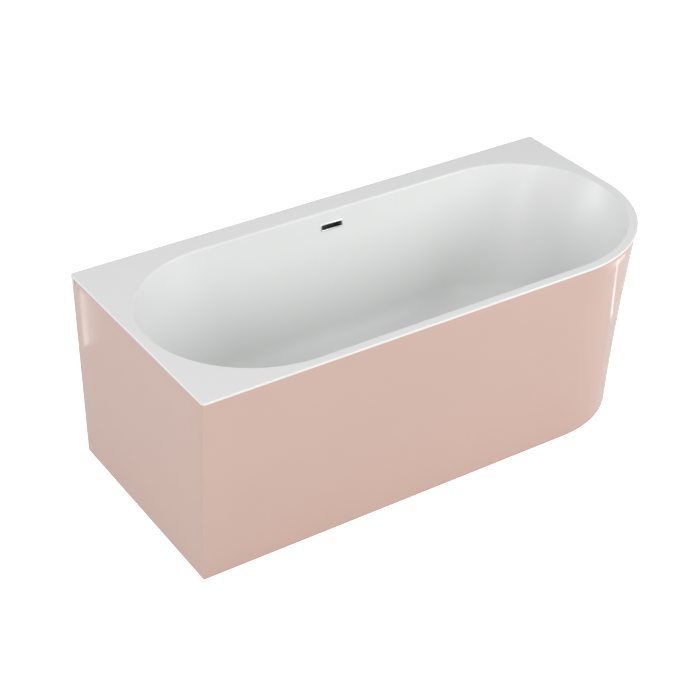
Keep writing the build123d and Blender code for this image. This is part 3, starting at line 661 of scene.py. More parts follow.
def islandBoxes(node):
    # lowest and highest corner of each separate solid in a node
    build = bmesh.new()
    build.from_mesh(nodes[node].data)
    bmesh.ops.remove_doubles(build, verts=build.verts, dist=1e-5)
    boxes, seen = [], set()
    for start in build.verts:
        if start in seen:
            continue
        group, front = [], [start]
        seen.add(start)
        while front:
            vert = front.pop()
            group.append(vert.co.copy())
            for edge in vert.link_edges:
                other = edge.other_vert(vert)
                if other not in seen:
                    seen.add(other)
                    front.append(other)
        low = Vector([min(co[k] for co in group) for k in range(3)])
        high = Vector([max(co[k] for co in group) for k in range(3)])
        boxes.append((low, high))
    build.free()
    return sorted(boxes, key=lambda box: tuple(round(v, 4) for v in box[0]))


print("stage: node helpers")


# Tub: deck, basin and the lip at the wall, one white shell

shellLow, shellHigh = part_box("bath_shell")
tub = {
    "left": shellLow.x, "right": shellHigh.x, "back": shellHigh.y, "height": shellHigh.z,
    "roundCorner": shellHigh.y, "smallCorner": 0.010, "deck": 0.006, "rimEdge": 0.002, "basinEdge": 0.006,
    "basinFront": -0.351, "basinBack": 0.303, "basinLeft": -0.770, "basinRight": 0.771,
    "floor": 0.175, "turn": 0.080, "wall": 0.005, "sideLean": math.radians(10), "endLean": math.radians(25),
    "waste": (0.0, -0.024), "wasteHole": 0.0235, "land": 0.0015, "edgeStep": 0.0008,
    "lipDrop": 0.025, "lipReturn": 0.020, "lipThickness": 0.005,
    "arcSteps": 40, "straightSteps": 28, "wallRings": 14, "turnRings": 22, "floorRings": 6,
}
cornerX = tub["right"] - tub["roundCorner"]


def wallInset(z, lean, offset=0.0):
    # straight at its lean, then an arc into the floor, as in the solid
    turnRadius = tub["turn"] / (1 - math.sin(lean))
    centreZ = tub["floor"] + turnRadius
    centreIn = (tub["height"] - tub["floor"] - tub["turn"]) * math.tan(lean) + turnRadius * math.cos(lean)
    radius = turnRadius + offset
    if z >= centreZ - radius * math.sin(lean):
        return (tub["height"] - z) * math.tan(lean) - offset / math.cos(lean)
    return centreIn - math.sqrt(max(radius ** 2 - (centreZ - z) ** 2, 0.0))


def edgeInset(z, lean):
    # the rounded edge between deck and basin wall
    r = tub["basinEdge"]
    tangentZ = tub["height"] - r + r * math.sin(lean)
    if z <= tangentZ:
        return wallInset(z, lean)
    centreIn = r * math.tan(lean) - r / math.cos(lean)
    return centreIn + math.sqrt(max(r ** 2 - (z - tub["height"] + r) ** 2, 0.0))


def basinRing(z, side, end):
    # one level of the basin: two straights, a half round and two quarter rounds
    front, back = tub["basinFront"] + side, tub["basinBack"] - side
    left, right = tub["basinLeft"] + end, tub["basinRight"] - end
    leftRadius = (back - front) / 2
    leftCentre = (left + leftRadius, (back + front) / 2)
    frontCentre, backCentre = (right + front, 0.0), (right - back, 0.0)
    steps, run = tub["arcSteps"], tub["straightSteps"]
    ring = []
    for k in range(run):
        ring.append((leftCentre[0] + (frontCentre[0] - leftCentre[0]) * k / run, front))
    ring += arcPoints(frontCentre, -front, -90, 90, steps, False)
    ring += arcPoints(backCentre, back, 0, 90, steps, False)
    for k in range(run):
        ring.append((backCentre[0] + (leftCentre[0] - backCentre[0]) * k / run, back))
    ring += arcPoints(leftCentre, leftRadius, 90, 180, 2 * steps, False)
    return [(x, y, z) for x, y in ring]


def deckRing(z, inset):
    # the outer edge seen from above
    left, right, back = tub["left"] + inset, tub["right"] - inset, tub["back"] - inset
    radius, small = tub["roundCorner"] - inset, tub["smallCorner"] - inset
    ring = [(left + small + (cornerX - left - small) * k / 24, -radius) for k in range(24)]
    ring += arcPoints((cornerX, 0), radius, -90, 90, 72, False)
    ring += [(right, (back - small) * k / 8) for k in range(8)]
    ring += arcPoints((right - small, back - small), small, 0, 90, 8)
    ring += [(right - small + (left - right + 2 * small) * k / 24, back) for k in range(1, 24)]
    ring += arcPoints((left + small, back - small), small, 90, 90, 8)
    ring += [(left, back - small + (2 * small - radius - back) * k / 12) for k in range(1, 12)]
    ring += arcPoints((left + small, -radius + small), small, 180, 90, 8, False)
    return [(x, y, z) for x, y in ring]


def floorRings(ring, z):
    # even steps over the flat floor, from the last ring to the waste hole
    middle = Vector((*tub["waste"], z))
    rings = []
    for k in range(1, tub["floorRings"] + 1):
        share = k / tub["floorRings"]
        level = []
        for point in ring:
            away = Vector(point) - middle
            hole = middle + away.normalized() * tub["wasteHole"]
            level.append(tuple(Vector(point).lerp(hole, share)))
        rings.append(level)
    return rings


def basinLevels():
    height, edge = tub["height"], tub["basinEdge"]
    levels = [height - edge * (1 - math.cos(math.radians(85 * k / 8))) for k in range(9)]
    turnTop = tub["floor"] + tub["turn"]
    start = levels[-1]
    levels += [start + (turnTop - start) * k / tub["wallRings"] for k in range(1, tub["wallRings"] + 1)]
    rings = tub["turnRings"]
    levels += [tub["floor"] + tub["turn"] * (1 - k / rings) ** 2 for k in range(1, rings + 1)]
    return levels


def tubRings():
    height, deck, rim = tub["height"], tub["deck"], tub["rimEdge"]
    outer = [deckRing(height - deck, 0.0), deckRing(height - deck + tub["edgeStep"], 0.0)]
    for k in range(5):
        lean = math.radians(90 * k / 4)
        outer.append(deckRing(height - rim * (1 - math.sin(lean)), rim * (1 - math.cos(lean))))
    # a narrow flat ring beside each rounded edge keeps the deck's shading flat
    outer.append(deckRing(height, rim + tub["land"]))
    side, end = (edgeInset(height, tub[lean]) - tub["land"] for lean in ("sideLean", "endLean"))
    inside = [basinRing(height, side, end)]
    for z in basinLevels():
        inside.append(basinRing(z, edgeInset(z, tub["sideLean"]), edgeInset(z, tub["endLean"])))
    inside += floorRings(inside[-1], tub["floor"])
    return outer, inside


def undersideRings():
    wall = tub["wall"]
    low, turnTop = tub["floor"] - wall, tub["floor"] + tub["turn"]
    top = tub["height"] - tub["deck"]
    levels = [low + (turnTop - low) * (k / 12) ** 2 for k in range(13)]
    levels += [turnTop + (top - turnTop) * k / 6 for k in range(1, 7)]
    side, end = tub["sideLean"], tub["endLean"]
    rings = [basinRing(z, wallInset(z, side, wall), wallInset(z, end, wall)) for z in levels]
    return floorRings(rings[0], low)[::-1] + rings


def ringsToMesh(name, outer, inside, under):
    verts, faces = [], []
    starts = []
    for ring in outer + inside + under:
        starts.append(len(verts))
        verts += ring
    rows = len(outer)
    for k in range(rows - 1):
        bridge(faces, starts[k], starts[k + 1], len(outer[0]))
    basin = list(range(rows, rows + len(inside) + len(under)))
    for a, b in zip(basin, basin[1:]):
        bridge(faces, starts[a], starts[b], len(inside[0]))
    mesh = bpy.data.meshes.new(name)
    mesh.from_pydata(verts, [], faces)
    outerCount, innerCount = len(outer[0]), len(inside[0])
    topOuter = [starts[rows - 1] + k for k in range(outerCount)]
    topInner = [starts[rows] + k for k in range(innerCount)]
    lowOuter = [starts[0] + k for k in range(outerCount)]
    lowInner = [starts[-1] + k for k in range(innerCount)]
    fillBetween(mesh, topOuter, topInner)
    fillBetween(mesh, lowOuter, lowInner)
    return mesh


def lipMesh():
    # the turned-down edge at the wall, wrapped round both back corners
    back, small, thick = tub["back"], tub["smallCorner"], tub["lipThickness"]
    low, high = tub["height"] - tub["deck"] - tub["lipDrop"], tub["height"] - tub["deck"] + 0.0005
    start = back - tub["lipReturn"]
    path = []
    for inset in (0.0, thick):
        left, right, edge = tub["left"] + inset, tub["right"] - inset, back - inset
        turn = small - inset
        side = [(right, start), (right, (start + edge - turn) / 2)]
        side += arcPoints((right - turn, edge - turn), turn, 0, 90, 8)
        side += [(right - turn + (left - right + 2 * turn) * k / 16, edge) for k in range(1, 16)]
        side += arcPoints((left + turn, edge - turn), turn, 90, 90, 8)
        side += [(left, (start + edge - turn) / 2), (left, start)]
        path.append(side)
    build = bmesh.new()
    rows = []
    for side, z in ((path[0], high), (path[0], low), (path[1], low), (path[1], high)):
        rows.append([build.verts.new((x, y, z)) for x, y in side])
    for k in range(4):
        a, b = rows[k], rows[(k + 1) % 4]
        for n in range(len(a) - 1):
            build.faces.new((a[n], a[n + 1], b[n + 1], b[n]))
    build.faces.new([row[0] for row in rows])
    build.faces.new([row[-1] for row in rows])
    bmesh.ops.recalc_face_normals(build, faces=build.faces)
    mesh = bpy.data.meshes.new("wallLip")
    build.to_mesh(mesh)
    build.free()
    return mesh


def roundedSlot(wider, depth, corner):
    # the slot's outline, made wider on all sides, at a depth along the wall's normal
    width, height = overflow["width"] / 2 + wider, overflow["height"] / 2 + wider
    loop = []
    for cx, cy, start in ((1, 1, 0), (-1, 1, 90), (-1, -1, 180), (1, -1, 270)):
        centre = (cx * (width - corner), cy * (height - corner))
        loop += arcPoints(centre, corner, start, 90, 6)
    return [overflow["plane"] @ Vector((x, y, depth)) for x, y in loop]


def loopsToMesh(name, loops, closeUp=False, caps=False):
    # closed loops of equal length skinned in order
    count = len(loops[0])
    verts = [tuple(point) for loop in loops for point in loop]
    faces = []
    for k in range(len(loops) - 1):
        bridge(faces, k * count, (k + 1) * count, count)
    if closeUp:
        bridge(faces, (len(loops) - 1) * count, 0, count)
    if caps:
        faces.append(tuple(range(count)))
        faces.append(tuple(range((len(loops) - 1) * count, len(loops) * count)))
    mesh = bpy.data.meshes.new(name)
    mesh.from_pydata(verts, [], faces)
    faceOutwards(mesh)
    return mesh


def overflowPlane(z):
    y = tub["basinBack"] - wallInset(z, tub["sideLean"])
    lean = tub["sideLean"]
    across, up = Vector((1, 0, 0)), Vector((0, math.sin(lean), math.cos(lean)))
    plane = Matrix((across, up, across.cross(up))).transposed().to_4x4()
    plane.translation = Vector((tub["waste"][0], y, z))
    return plane


overflow = {
    "plane": overflowPlane(0.553), "width": 0.068, "height": 0.014, "corner": 0.0012,
    "border": 0.004, "thickness": 0.002, "sleeveWall": 0.0015, "sleeveDepth": 0.036, "clearance": 0.0005,
}


def cutWith(piece, cutterMesh, operation="DIFFERENCE"):
    cutter = bpy.data.objects.new("cutter", cutterMesh)
    bpy.context.scene.collection.objects.link(cutter)
    change = piece.modifiers.new("cut", "BOOLEAN")
    change.operation = operation
    change.solver = "EXACT"
    change.object = cutter
    bpy.context.view_layer.update()
    applyModifiers(piece)
    bpy.data.objects.remove(cutter)


def makeTub():
    outer, inside = tubRings()
    mesh = ringsToMesh("tubShell", outer, inside, undersideRings())
    faceOutwards(mesh)
    shell = newPiece("tubShell", mesh, finishes["white_acrylic"])
    wider = overflow["sleeveWall"] + overflow["clearance"]
    hole = [roundedSlot(wider, depth, overflow["corner"] + wider) for depth in (0.02, -0.02)]
    cutWith(shell, loopsToMesh("slotCutter", hole, caps=True))
    lip = lipMesh()
    build = bmesh.new()
    build.from_mesh(shell.data)
    build.from_mesh(lip)
    build.to_mesh(shell.data)
    build.free()
    bpy.data.meshes.remove(lip)
    smoothUnder(shell.data, 35)
    placePiece(shell, "bath", "white_acrylic", "bath_shell")


makeTub()
print("stage: tub shell")


# Casing: one pink skirt round the left end, the front and the right end

casingLow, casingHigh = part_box("casing")
casing = {
    "foot": casingLow.z, "top": casingHigh.z, "left": casingLow.x, "back": casingHigh.y,
    "footReach": 0.3274, "waistReach": 0.350, "topReach": 0.3775, "waist": 0.330,
    "wall": 0.005, "topFlange": 0.018, "footFlange": 0.022, "wallFlange": 0.040, "backCorner": 0.008,
    "frontCorner": 0.0015, "edge": 0.0009, "sharpest": 0.0004,
    "heightSteps": 36, "frontSteps": 30, "cornerSteps": 64, "sideSteps": 14,
}


def casingReach(z):
    # the front leans on one large arc through foot, waist and top
    low = (casing["footReach"], casing["foot"])
    mid = (casing["waistReach"], casing["waist"])
    top = (casing["topReach"], casing["top"])
    cross = 2 * (low[0] * (mid[1] - top[1]) + mid[0] * (top[1] - low[1]) + top[0] * (low[1] - mid[1]))
    a, b, c = (p[0] ** 2 + p[1] ** 2 for p in (low, mid, top))
    u = (a * (mid[1] - top[1]) + b * (top[1] - low[1]) + c * (low[1] - mid[1])) / cross
    v = (a * (top[0] - mid[0]) + b * (low[0] - top[0]) + c * (mid[0] - low[0])) / cross
    return u - math.sqrt((low[0] - u) ** 2 + (low[1] - v) ** 2 - (z - v) ** 2)


def casingPath(z, depth):
    # plan of the skirt at a height, moved in by a depth
    reach = casingReach(z) - depth
    left, back = casing["left"] + depth, casing["back"] - depth
    right = cornerX + reach
    backRound = max(casing["backCorner"] - depth, casing["sharpest"])
    frontRound = max(casing["frontCorner"] - depth, casing["sharpest"])
    flange = casing["left"] + casing["wallFlange"]
    path = [(flange, back), ((flange + left + backRound) / 2, back)]
    path += arcPoints((left + backRound, back - backRound), backRound, 90, 90, 8)
    top, low = back - backRound, -reach + frontRound
    steps = casing["sideSteps"]
    path += [(left, top + (low - top) * k / steps) for k in range(1, steps)]
    path += arcPoints((left + frontRound, low), frontRound, 180, 90, 5)
    steps = casing["frontSteps"]
    start = left + frontRound
    path += [(start + (cornerX - start) * k / steps, -reach) for k in range(1, steps)]
    path += arcPoints((cornerX, 0), reach, -90, 90, casing["cornerSteps"])
    steps = casing["sideSteps"]
    path += [(right, (back - frontRound) * k / steps) for k in range(1, steps)]
    path += arcPoints((right - frontRound, back - frontRound), frontRound, 0, 90, 5)
    flange = cornerX + casingReach(z) - casing["wallFlange"]
    path += [((flange + right - frontRound) / 2, back), (flange, back)]
    return path


def casingProfile():
    # (depth in from the face, height) round the section, outside first
    foot, top, wall = casing["foot"], casing["top"], casing["wall"]
    steps = casing["heightSteps"]
    outside = [(0.0, foot + (top - foot) * k / steps) for k in range(steps + 1)]
    inTop, inFoot = top - wall, foot + wall
    inside = [(wall, inTop + (inFoot - inTop) * k / steps) for k in range(steps + 1)]
    top = [(casing["topFlange"], top), (casing["topFlange"], inTop)]
    foot = [(casing["footFlange"], inFoot), (casing["footFlange"], foot)]
    return outside + top + inside + foot


def closeSkirt(build, section):
    # one end of the skirt: a strip up the wall and a face for each flange
    steps = casing["heightSteps"]
    inside = section[steps + 3:2 * steps + 4][::-1]
    for k in range(steps):
        build.faces.new((section[k], section[k + 1], inside[k + 1], inside[k]))
    build.faces.new((section[steps], section[steps + 1], section[steps + 2], inside[steps]))
    build.faces.new((section[-1], section[0], inside[0], section[-2]))


def makeCasing():
    profile = casingProfile()
    build = bmesh.new()
    rows = [[build.verts.new((x, y, z)) for x, y in casingPath(z, depth)] for depth, z in profile]
    for k, row in enumerate(rows):
        after = rows[(k + 1) % len(rows)]
        for n in range(len(row) - 1):
            build.faces.new((row[n], row[n + 1], after[n + 1], after[n]))
    closeSkirt(build, [row[0] for row in rows])
    closeSkirt(build, [row[-1] for row in rows])
    mesh = bpy.data.meshes.new("casingSkirt")
    bmesh.ops.recalc_face_normals(build, faces=build.faces)
    build.to_mesh(mesh)
    build.free()
    skirt = newPiece("casingSkirt", mesh, finishes["pink_acrylic"], finishes["glass_fibre"])
    lipLow = tub["height"] - tub["deck"] - tub["lipDrop"]
    lipFront = tub["back"] - tub["lipReturn"]
    past = 0.1  # how far the cutter stands out on the open sides
    notchHigh = (tub["right"] + past, tub["back"] + past, tub["height"] + past)
    cutWith(skirt, boxMesh((tub["left"] - past, lipFront, lipLow), notchHigh))
    rounding = skirt.modifiers.new("edge", "BEVEL")
    rounding.width = casing["edge"]
    rounding.segments = 3
    rounding.limit_method = "ANGLE"
    rounding.angle_limit = math.radians(50)
    applyModifiers(skirt)
    coatInside(skirt.data)
    smoothUnder(skirt.data, 35)
    placePiece(skirt, "bath", "pink_acrylic", "casing")


def boxMesh(low, high):
    build = bmesh.new()
    bmesh.ops.create_cube(build, size=1.0)
    size, middle = Vector(high) - Vector(low), (Vector(high) + Vector(low)) / 2
    for vert in build.verts:
        vert.co = Vector([vert.co[k] * size[k] + middle[k] for k in range(3)])
    mesh = bpy.data.meshes.new("box")
    build.to_mesh(mesh)
    build.free()
    return mesh


def coatInside(mesh):
    # the skirt's inner face carries the glass fibre
    for face in mesh.polygons:
        x, y, z = face.center
        reach = casingReach(min(max(z, casing["foot"]), casing["top"]))
        front = reach + min(y, 0) if x < cornerX else reach - math.hypot(x - cornerX, min(y, 0))
        inward = min(front if y < 0 or x > cornerX else 1.0, x - casing["left"], casing["back"] - y + 0.002)
        face.material_index = 1 if inward > casing["wall"] - 0.0012 else 0


makeCasing()
print("stage: casing")


# Overflow: polished frame with a deep sleeve


def makeOverflowFrame():
    border, thick, deep = overflow["border"], overflow["thickness"], overflow["sleeveDepth"]
    wall, corner = overflow["sleeveWall"], overflow["corner"]
    sections = [
        (border, 0.0), (border, thick * 0.55), (border - 0.00025, thick * 0.80), (border - 0.0008, thick),
        (0.0008, thick), (0.0002, thick * 0.85), (0.0, thick * 0.5), (0.0, -deep), (wall, -deep), (wall, 0.0),
    ]
    loops = [roundedSlot(wider, depth, corner + max(wider, 0)) for wider, depth in sections]
    mesh = loopsToMesh("overflowFrame", loops, closeUp=True)
    smoothUnder(mesh, 40)
    trim = newPiece("overflowFrame", mesh, finishes["chrome"])
    placePiece(trim, "bath", "chrome", "overflow_trim")


makeOverflowFrame()
print("stage: overflow frame")


# Fasteners: screws and nuts, one template each, set on the places of the solids

screw = {
    "headRadius": 0.0046, "headHeight": 0.0028, "shank": 0.0022, "recess": 0.0026, "recessWidth": 0.0009,
    "recessDepth": 0.0019, "tip": 0.003,
}


def screwMesh(length):
    # pan head above z 0, shank below, with a cross recess
    head, tall, shank = screw["headRadius"], screw["headHeight"], screw["shank"]
    tip = screw["tip"]
    shaft = [(0, -length), (shank * 0.35, -length + tip * 0.3), (shank, -length + tip), (shank, 0)]
    dome = [(0.97, 0), (1, 0.08), (1, 0.40), (0.95, 0.62), (0.82, 0.82), (0.60, 0.95), (0.30, 1), (0, 1)]
    profile = shaft + [(head * wide, tall * high) for wide, high in dome]
    part = newPiece("screwBlank", turnedMesh("screwBlank", profile, 32), finishes["zinc_fastener"])
    for turn in (0, 90):
        arm = boxMesh(
            (-screw["recess"], -screw["recessWidth"] / 2, tall - screw["recessDepth"]),
            (screw["recess"], screw["recessWidth"] / 2, tall + 0.001),
        )
        for vert in arm.vertices:
            if vert.co.z < tall:
                vert.co.x *= 0.45
        arm.transform(Matrix.Rotation(math.radians(turn), 4, "Z"))
        cutWith(part, arm)
    mesh = part.data.copy()
    bpy.data.objects.remove(part)
    return mesh


def makeScrews(name, node, headUp, seed):
    boxes = islandBoxes(node)
    length = boxes[0][1].z - boxes[0][0].z - screw["headHeight"]
    places = []
    for low, high in boxes:
        seat = high.z - screw["headHeight"] if headUp else low.z + screw["headHeight"]
        places.append(((low.x + high.x) / 2, (low.y + high.y) / 2, seat))
    tilt = 0.0 if headUp else pi
    piece = repeat(name, screwMesh(length), places, finishes["zinc_fastener"], tilt, 2 * pi, seed)
    smoothUnder(piece.data, 38)
    placePiece(piece, "bath", slotOf[node], node)


nut = {"flats": 0.019, "height": 0.010, "bore": 0.0061, "cornerCut": 0.0018, "faceRing": 0.0004}


def nutMesh():
    # a hexagon, its corners turned off at both faces, with a countersunk bore
    flats, tall, bore = nut["flats"] / 2, nut["height"], nut["bore"]
    corner = flats / math.cos(pi / 6)
    hexagon = arcPoints((0, 0), corner, 0, 360, 6, False)
    loops = [[(x, y, z) for x, y in hexagon] for z in (0, tall)]
    part = newPiece("nutBlank", loopsToMesh("nutBlank", loops, caps=True), finishes["zinc_fastener"])
    face, wide, cut, past = flats - nut["faceRing"], corner + 0.0004, nut["cornerCut"], 0.0005
    cone = turnedMesh("nutCone", [
        (0, -past), (face, -past), (face, 0), (wide, cut),
        (wide, tall - cut), (face, tall), (face, tall + past), (0, tall + past),
    ], 72)
    cutWith(part, cone, "INTERSECT")
    hole = turnedMesh("nutHole", [
        (0, -0.001), (bore + 0.0018, -0.001), (bore + 0.0008, 0.0), (bore, 0.0008), (bore, tall - 0.0008),
        (bore + 0.0008, tall), (bore + 0.0018, tall + 0.001), (0, tall + 0.001),
    ], 40)
    cutWith(part, hole)
    mesh = part.data.copy()
    bpy.data.objects.remove(part)
    return mesh


def makeNuts(name, node, spin, seed):
    places = [((low.x + high.x) / 2, (low.y + high.y) / 2, low.z) for low, high in islandBoxes(node)]
    piece = repeat(name, nutMesh(), places, finishes["zinc_fastener"], 0.0, spin, seed)
    smoothUnder(piece.data, 25)
    placePiece(piece, "bath", slotOf[node], node)


makeScrews("boardScrews", "board_screws", False, 3)
makeScrews("battenScrews", "batten_screws", False, 5)
makeScrews("bracketScrews", "bracket_screws", True, 8)
makeNuts("weldNuts", "weld_nuts", 0.0, 2)
makeNuts("lockNuts", "lock_nuts", 2 * pi, 4)
print("stage: screws and nuts")


# Feet: threaded rods with a hexagon for the spanner

foot = {
    "radius": 0.0060, "root": 0.0052, "pitch": 0.00175, "turnSteps": 20, "endCut": 0.0010,
    "hexFlats": 0.017, "hexLow": 0.022, "hexHeight": 0.008, "hexCut": 0.0009,
}
footPlaces = ["left_front", "left_back", "middle_front", "middle_back", "right_front", "right_back"]


def makeRodTree():
    # a core, a rolled thread wound round it and a hexagon, all built up from the point given
    tree, sizes = startTree("threadedRod", {
        "Length": 0.160, "Root": 0.0052, "Crest": 0.0060, "Pitch": 0.00175, "Turn Steps": 20,
        "End Cut": 0.001, "Hex Radius": 0.0098, "Hex Low": 0.013, "Hex Height": 0.008, "Hex Cut": 0.0009,
    })
    length, root, crest = sizes["Length"], sizes["Root"], sizes["Crest"]
    straight = calc(tree, "SUBTRACT", length, sizes["End Cut"])
    core = addNode(tree, "GeometryNodeMeshCylinder", {"Vertices": 28, "Radius": root, "Depth": straight})
    core = moved(tree, core, vector(tree, z=calc(tree, "MULTIPLY", straight, 0.5)))
    tip = addNode(tree, "GeometryNodeMeshCone", {
        "Vertices": 28, "Radius Top": calc(tree, "SUBTRACT", root, sizes["End Cut"]), "Radius Bottom": root,
        "Depth": sizes["End Cut"],
    })
    tip = moved(tree, tip, vector(tree, z=straight))
    ridge = calc(tree, "MULTIPLY", calc(tree, "SUBTRACT", crest, root), 0.72)
    middle = calc(tree, "SUBTRACT", crest, ridge)
    run = calc(tree, "SUBTRACT", straight, calc(tree, "MULTIPLY", ridge, 2.0))
    spiral = addNode(tree, "GeometryNodeCurveSpiral", {
        "Resolution": sizes["Turn Steps"], "Rotations": calc(tree, "DIVIDE", run, sizes["Pitch"]),
        "Start Radius": middle, "End Radius": middle, "Height": run,
    })
    around = addNode(tree, "GeometryNodeCurvePrimitiveCircle", {"Resolution": 6, "Radius": ridge})
    wound = {"Curve": spiral, "Profile Curve": around, "Fill Caps": True}
    thread = moved(tree, addNode(tree, "GeometryNodeCurveToMesh", wound), vector(tree, z=ridge))
    cut = sizes["Hex Cut"]
    narrow = calc(tree, "SUBTRACT", sizes["Hex Radius"], cut)
    block = calc(tree, "SUBTRACT", sizes["Hex Height"], calc(tree, "MULTIPLY", cut, 2.0))
    low = calc(tree, "ADD", sizes["Hex Low"], cut)
    wide = sizes["Hex Radius"]
    hexagon = []
    high = calc(tree, "ADD", low, block)
    layers = ((sizes["Hex Low"], narrow, wide, cut), (low, wide, wide, block), (high, wide, narrow, cut))
    for start, bottom, top, depth in layers:
        section = {"Vertices": 6, "Radius Top": top, "Radius Bottom": bottom, "Depth": depth}
        hexagon.append(moved(tree, addNode(tree, "GeometryNodeMeshCone", section), vector(tree, z=start)))
    rod = joined(tree, core, tip, thread, *hexagon)
    points = addNode(tree, "GeometryNodeMeshToPoints", {"Mesh": sizes["Geometry"]})
    copies = addNode(tree, "GeometryNodeInstanceOnPoints", {"Points": points, "Instance": rod})
    return endTree(tree, copies, sizes["Finish"])


def makeRods():
    tree = makeRodTree()
    for place in footPlaces:
        node = "foot_rod_" + place
        low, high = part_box(node)
        base = ((low.x + high.x) / 2, (low.y + high.y) / 2, low.z)
        values = {
            "Length": high.z - low.z, "Root": foot["root"], "Crest": foot["radius"], "Pitch": foot["pitch"],
            "Turn Steps": foot["turnSteps"], "End Cut": foot["endCut"],
            "Hex Radius": foot["hexFlats"] / 2 / math.cos(pi / 6), "Hex Low": foot["hexLow"] - low.z,
            "Hex Height": foot["hexHeight"], "Hex Cut": foot["hexCut"],
        }
        start = pointCloud("footPlace", [base])
        rod = grow("footRod." + place, start, tree, values, finishes["zinc_fastener"])
        smoothUnder(rod.data, 50)
        placePiece(rod, "foot_" + place, slotOf[node], node)


makeRods()
print("stage: feet")


# Weld beads: overlapping drops of metal round every joint of the frame

weld = {
    "radius": 0.0024, "step": 0.0017, "length": 0.0015, "uneven": 0.22, "sink": 0.0004, "nutGap": 0.0012,
    "leastLand": 0.006, "seed": 7,
}
steelParts = ["frame_rail_front", "frame_rail_back", "crossbar_left", "crossbar_middle", "crossbar_right"]
upright = {"nodes": ["upright_left", "upright_right"], "half": 0.0125, "y": 0.3525, "plate": 0.004}


def makeWeldTree():
    tree, sizes = startTree("weldBeads", {
        "Radius": 0.0024, "Step": 0.0017, "Drop Length": 0.0015, "Uneven": 0.22, "Seed": 7,
    })
    line = resampled(tree, sizes["Geometry"], sizes["Step"])
    split = tree.nodes.new("GeometryNodeCurveToPoints")
    split.mode = "EVALUATED"
    tree.links.new(line, split.inputs["Curve"])
    drop = addNode(tree, "GeometryNodeMeshUVSphere", {"Segments": 8, "Rings": 5, "Radius": 1.0})
    shape = vector(tree, sizes["Radius"], sizes["Radius"], sizes["Drop Length"])
    drop = addNode(tree, "GeometryNodeTransform", {"Geometry": drop, "Scale": shape})
    least = calc(tree, "SUBTRACT", 1.0, sizes["Uneven"])
    beads = addNode(tree, "GeometryNodeInstanceOnPoints", {
        "Points": split.outputs["Points"], "Instance": drop, "Rotation": split.outputs["Rotation"],
        "Scale": chance(tree, least, 1.0, sizes["Seed"]),
    })
    return endTree(tree, beads, sizes["Finish"])


def loopRound(low, high, z):
    return [(low[0], low[1], z), (high[0], low[1], z), (high[0], high[1], z), (low[0], high[1], z)]


def weldLoops():
    # wherever one steel part stands on another, a loop round the land they share
    boxes = [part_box(node) for node in steelParts] + islandBoxes("casing_brackets")
    loops = []
    for under in boxes:
        for over in boxes:
            low = [max(under[0][k], over[0][k]) for k in (0, 1)]
            high = [min(under[1][k], over[1][k]) for k in (0, 1)]
            meets = abs(under[1].z - over[0].z) < 0.0003
            if meets and min(high[k] - low[k] for k in (0, 1)) > weld["leastLand"]:
                loops.append(loopRound(low, high, over[0].z))
    for node in upright["nodes"]:
        low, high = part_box(node)
        x, y, half = (low.x + high.x) / 2, upright["y"], upright["half"]
        for z in (low.z, high.z - upright["plate"] - weld["sink"]):
            loops.append(loopRound((x - half, y - half), (x + half, y + half), z))
    for low, high in islandBoxes("weld_nuts"):
        centre = ((low.x + high.x) / 2, (low.y + high.y) / 2)
        around = arcPoints(centre, nut["flats"] / 2 + weld["nutGap"], 0, 360, 24, False)
        loops.append([(x, y, low.z) for x, y in around])
    return loops


def makeWelds():
    values = {
        "Radius": weld["radius"], "Step": weld["step"], "Drop Length": weld["length"],
        "Uneven": weld["uneven"], "Seed": weld["seed"],
    }
    lines = closedCurve("weldLoops", weldLoops())
    piece = grow("frameWelds", lines, makeWeldTree(), values, finishes["galvanised_steel"])
    smoothUnder(piece.data, 80)
    placePiece(piece, "bath", "galvanised_steel")


makeWelds()
print("stage: welds")


# Hand nuts of the waste and the overflow hose: a turned ring with ribs or grooves for the fingers

handNuts = {
    "trap_nut": {
        "place": (0.0, -0.024, 0.068), "facing": "up", "outer": 0.030, "bore": 0.0243, "lip": 0.0223,
        "lipThick": 0.004, "height": 0.020, "lipLow": True, "grips": 24, "gripRadius": 0.0012,
    },
    "outlet_nut": {
        "place": (-0.062, 0.044, 0.096), "facing": "front", "outer": 0.0295, "bore": 0.0243, "lip": 0.0203,
        "lipThick": 0.004, "height": 0.022, "lipLow": True, "grips": 24, "gripRadius": 0.0012,
    },
    "hose_nut_top": {
        "place": (0.0, 0.322, 0.492), "facing": "up", "outer": 0.020, "bore": 0.0149, "lip": 0.0117,
        "lipThick": 0.002, "height": 0.022, "lipLow": False, "grips": 18, "gripRadius": 0.0011,
    },
    "hose_nut_bottom": {
        "place": (0.0, 0.062, 0.104), "facing": "front", "outer": 0.020, "bore": 0.0149, "lip": 0.0117,
        "lipThick": 0.002, "height": 0.022, "lipLow": False, "grips": 18, "gripRadius": 0.0011,
    },
}


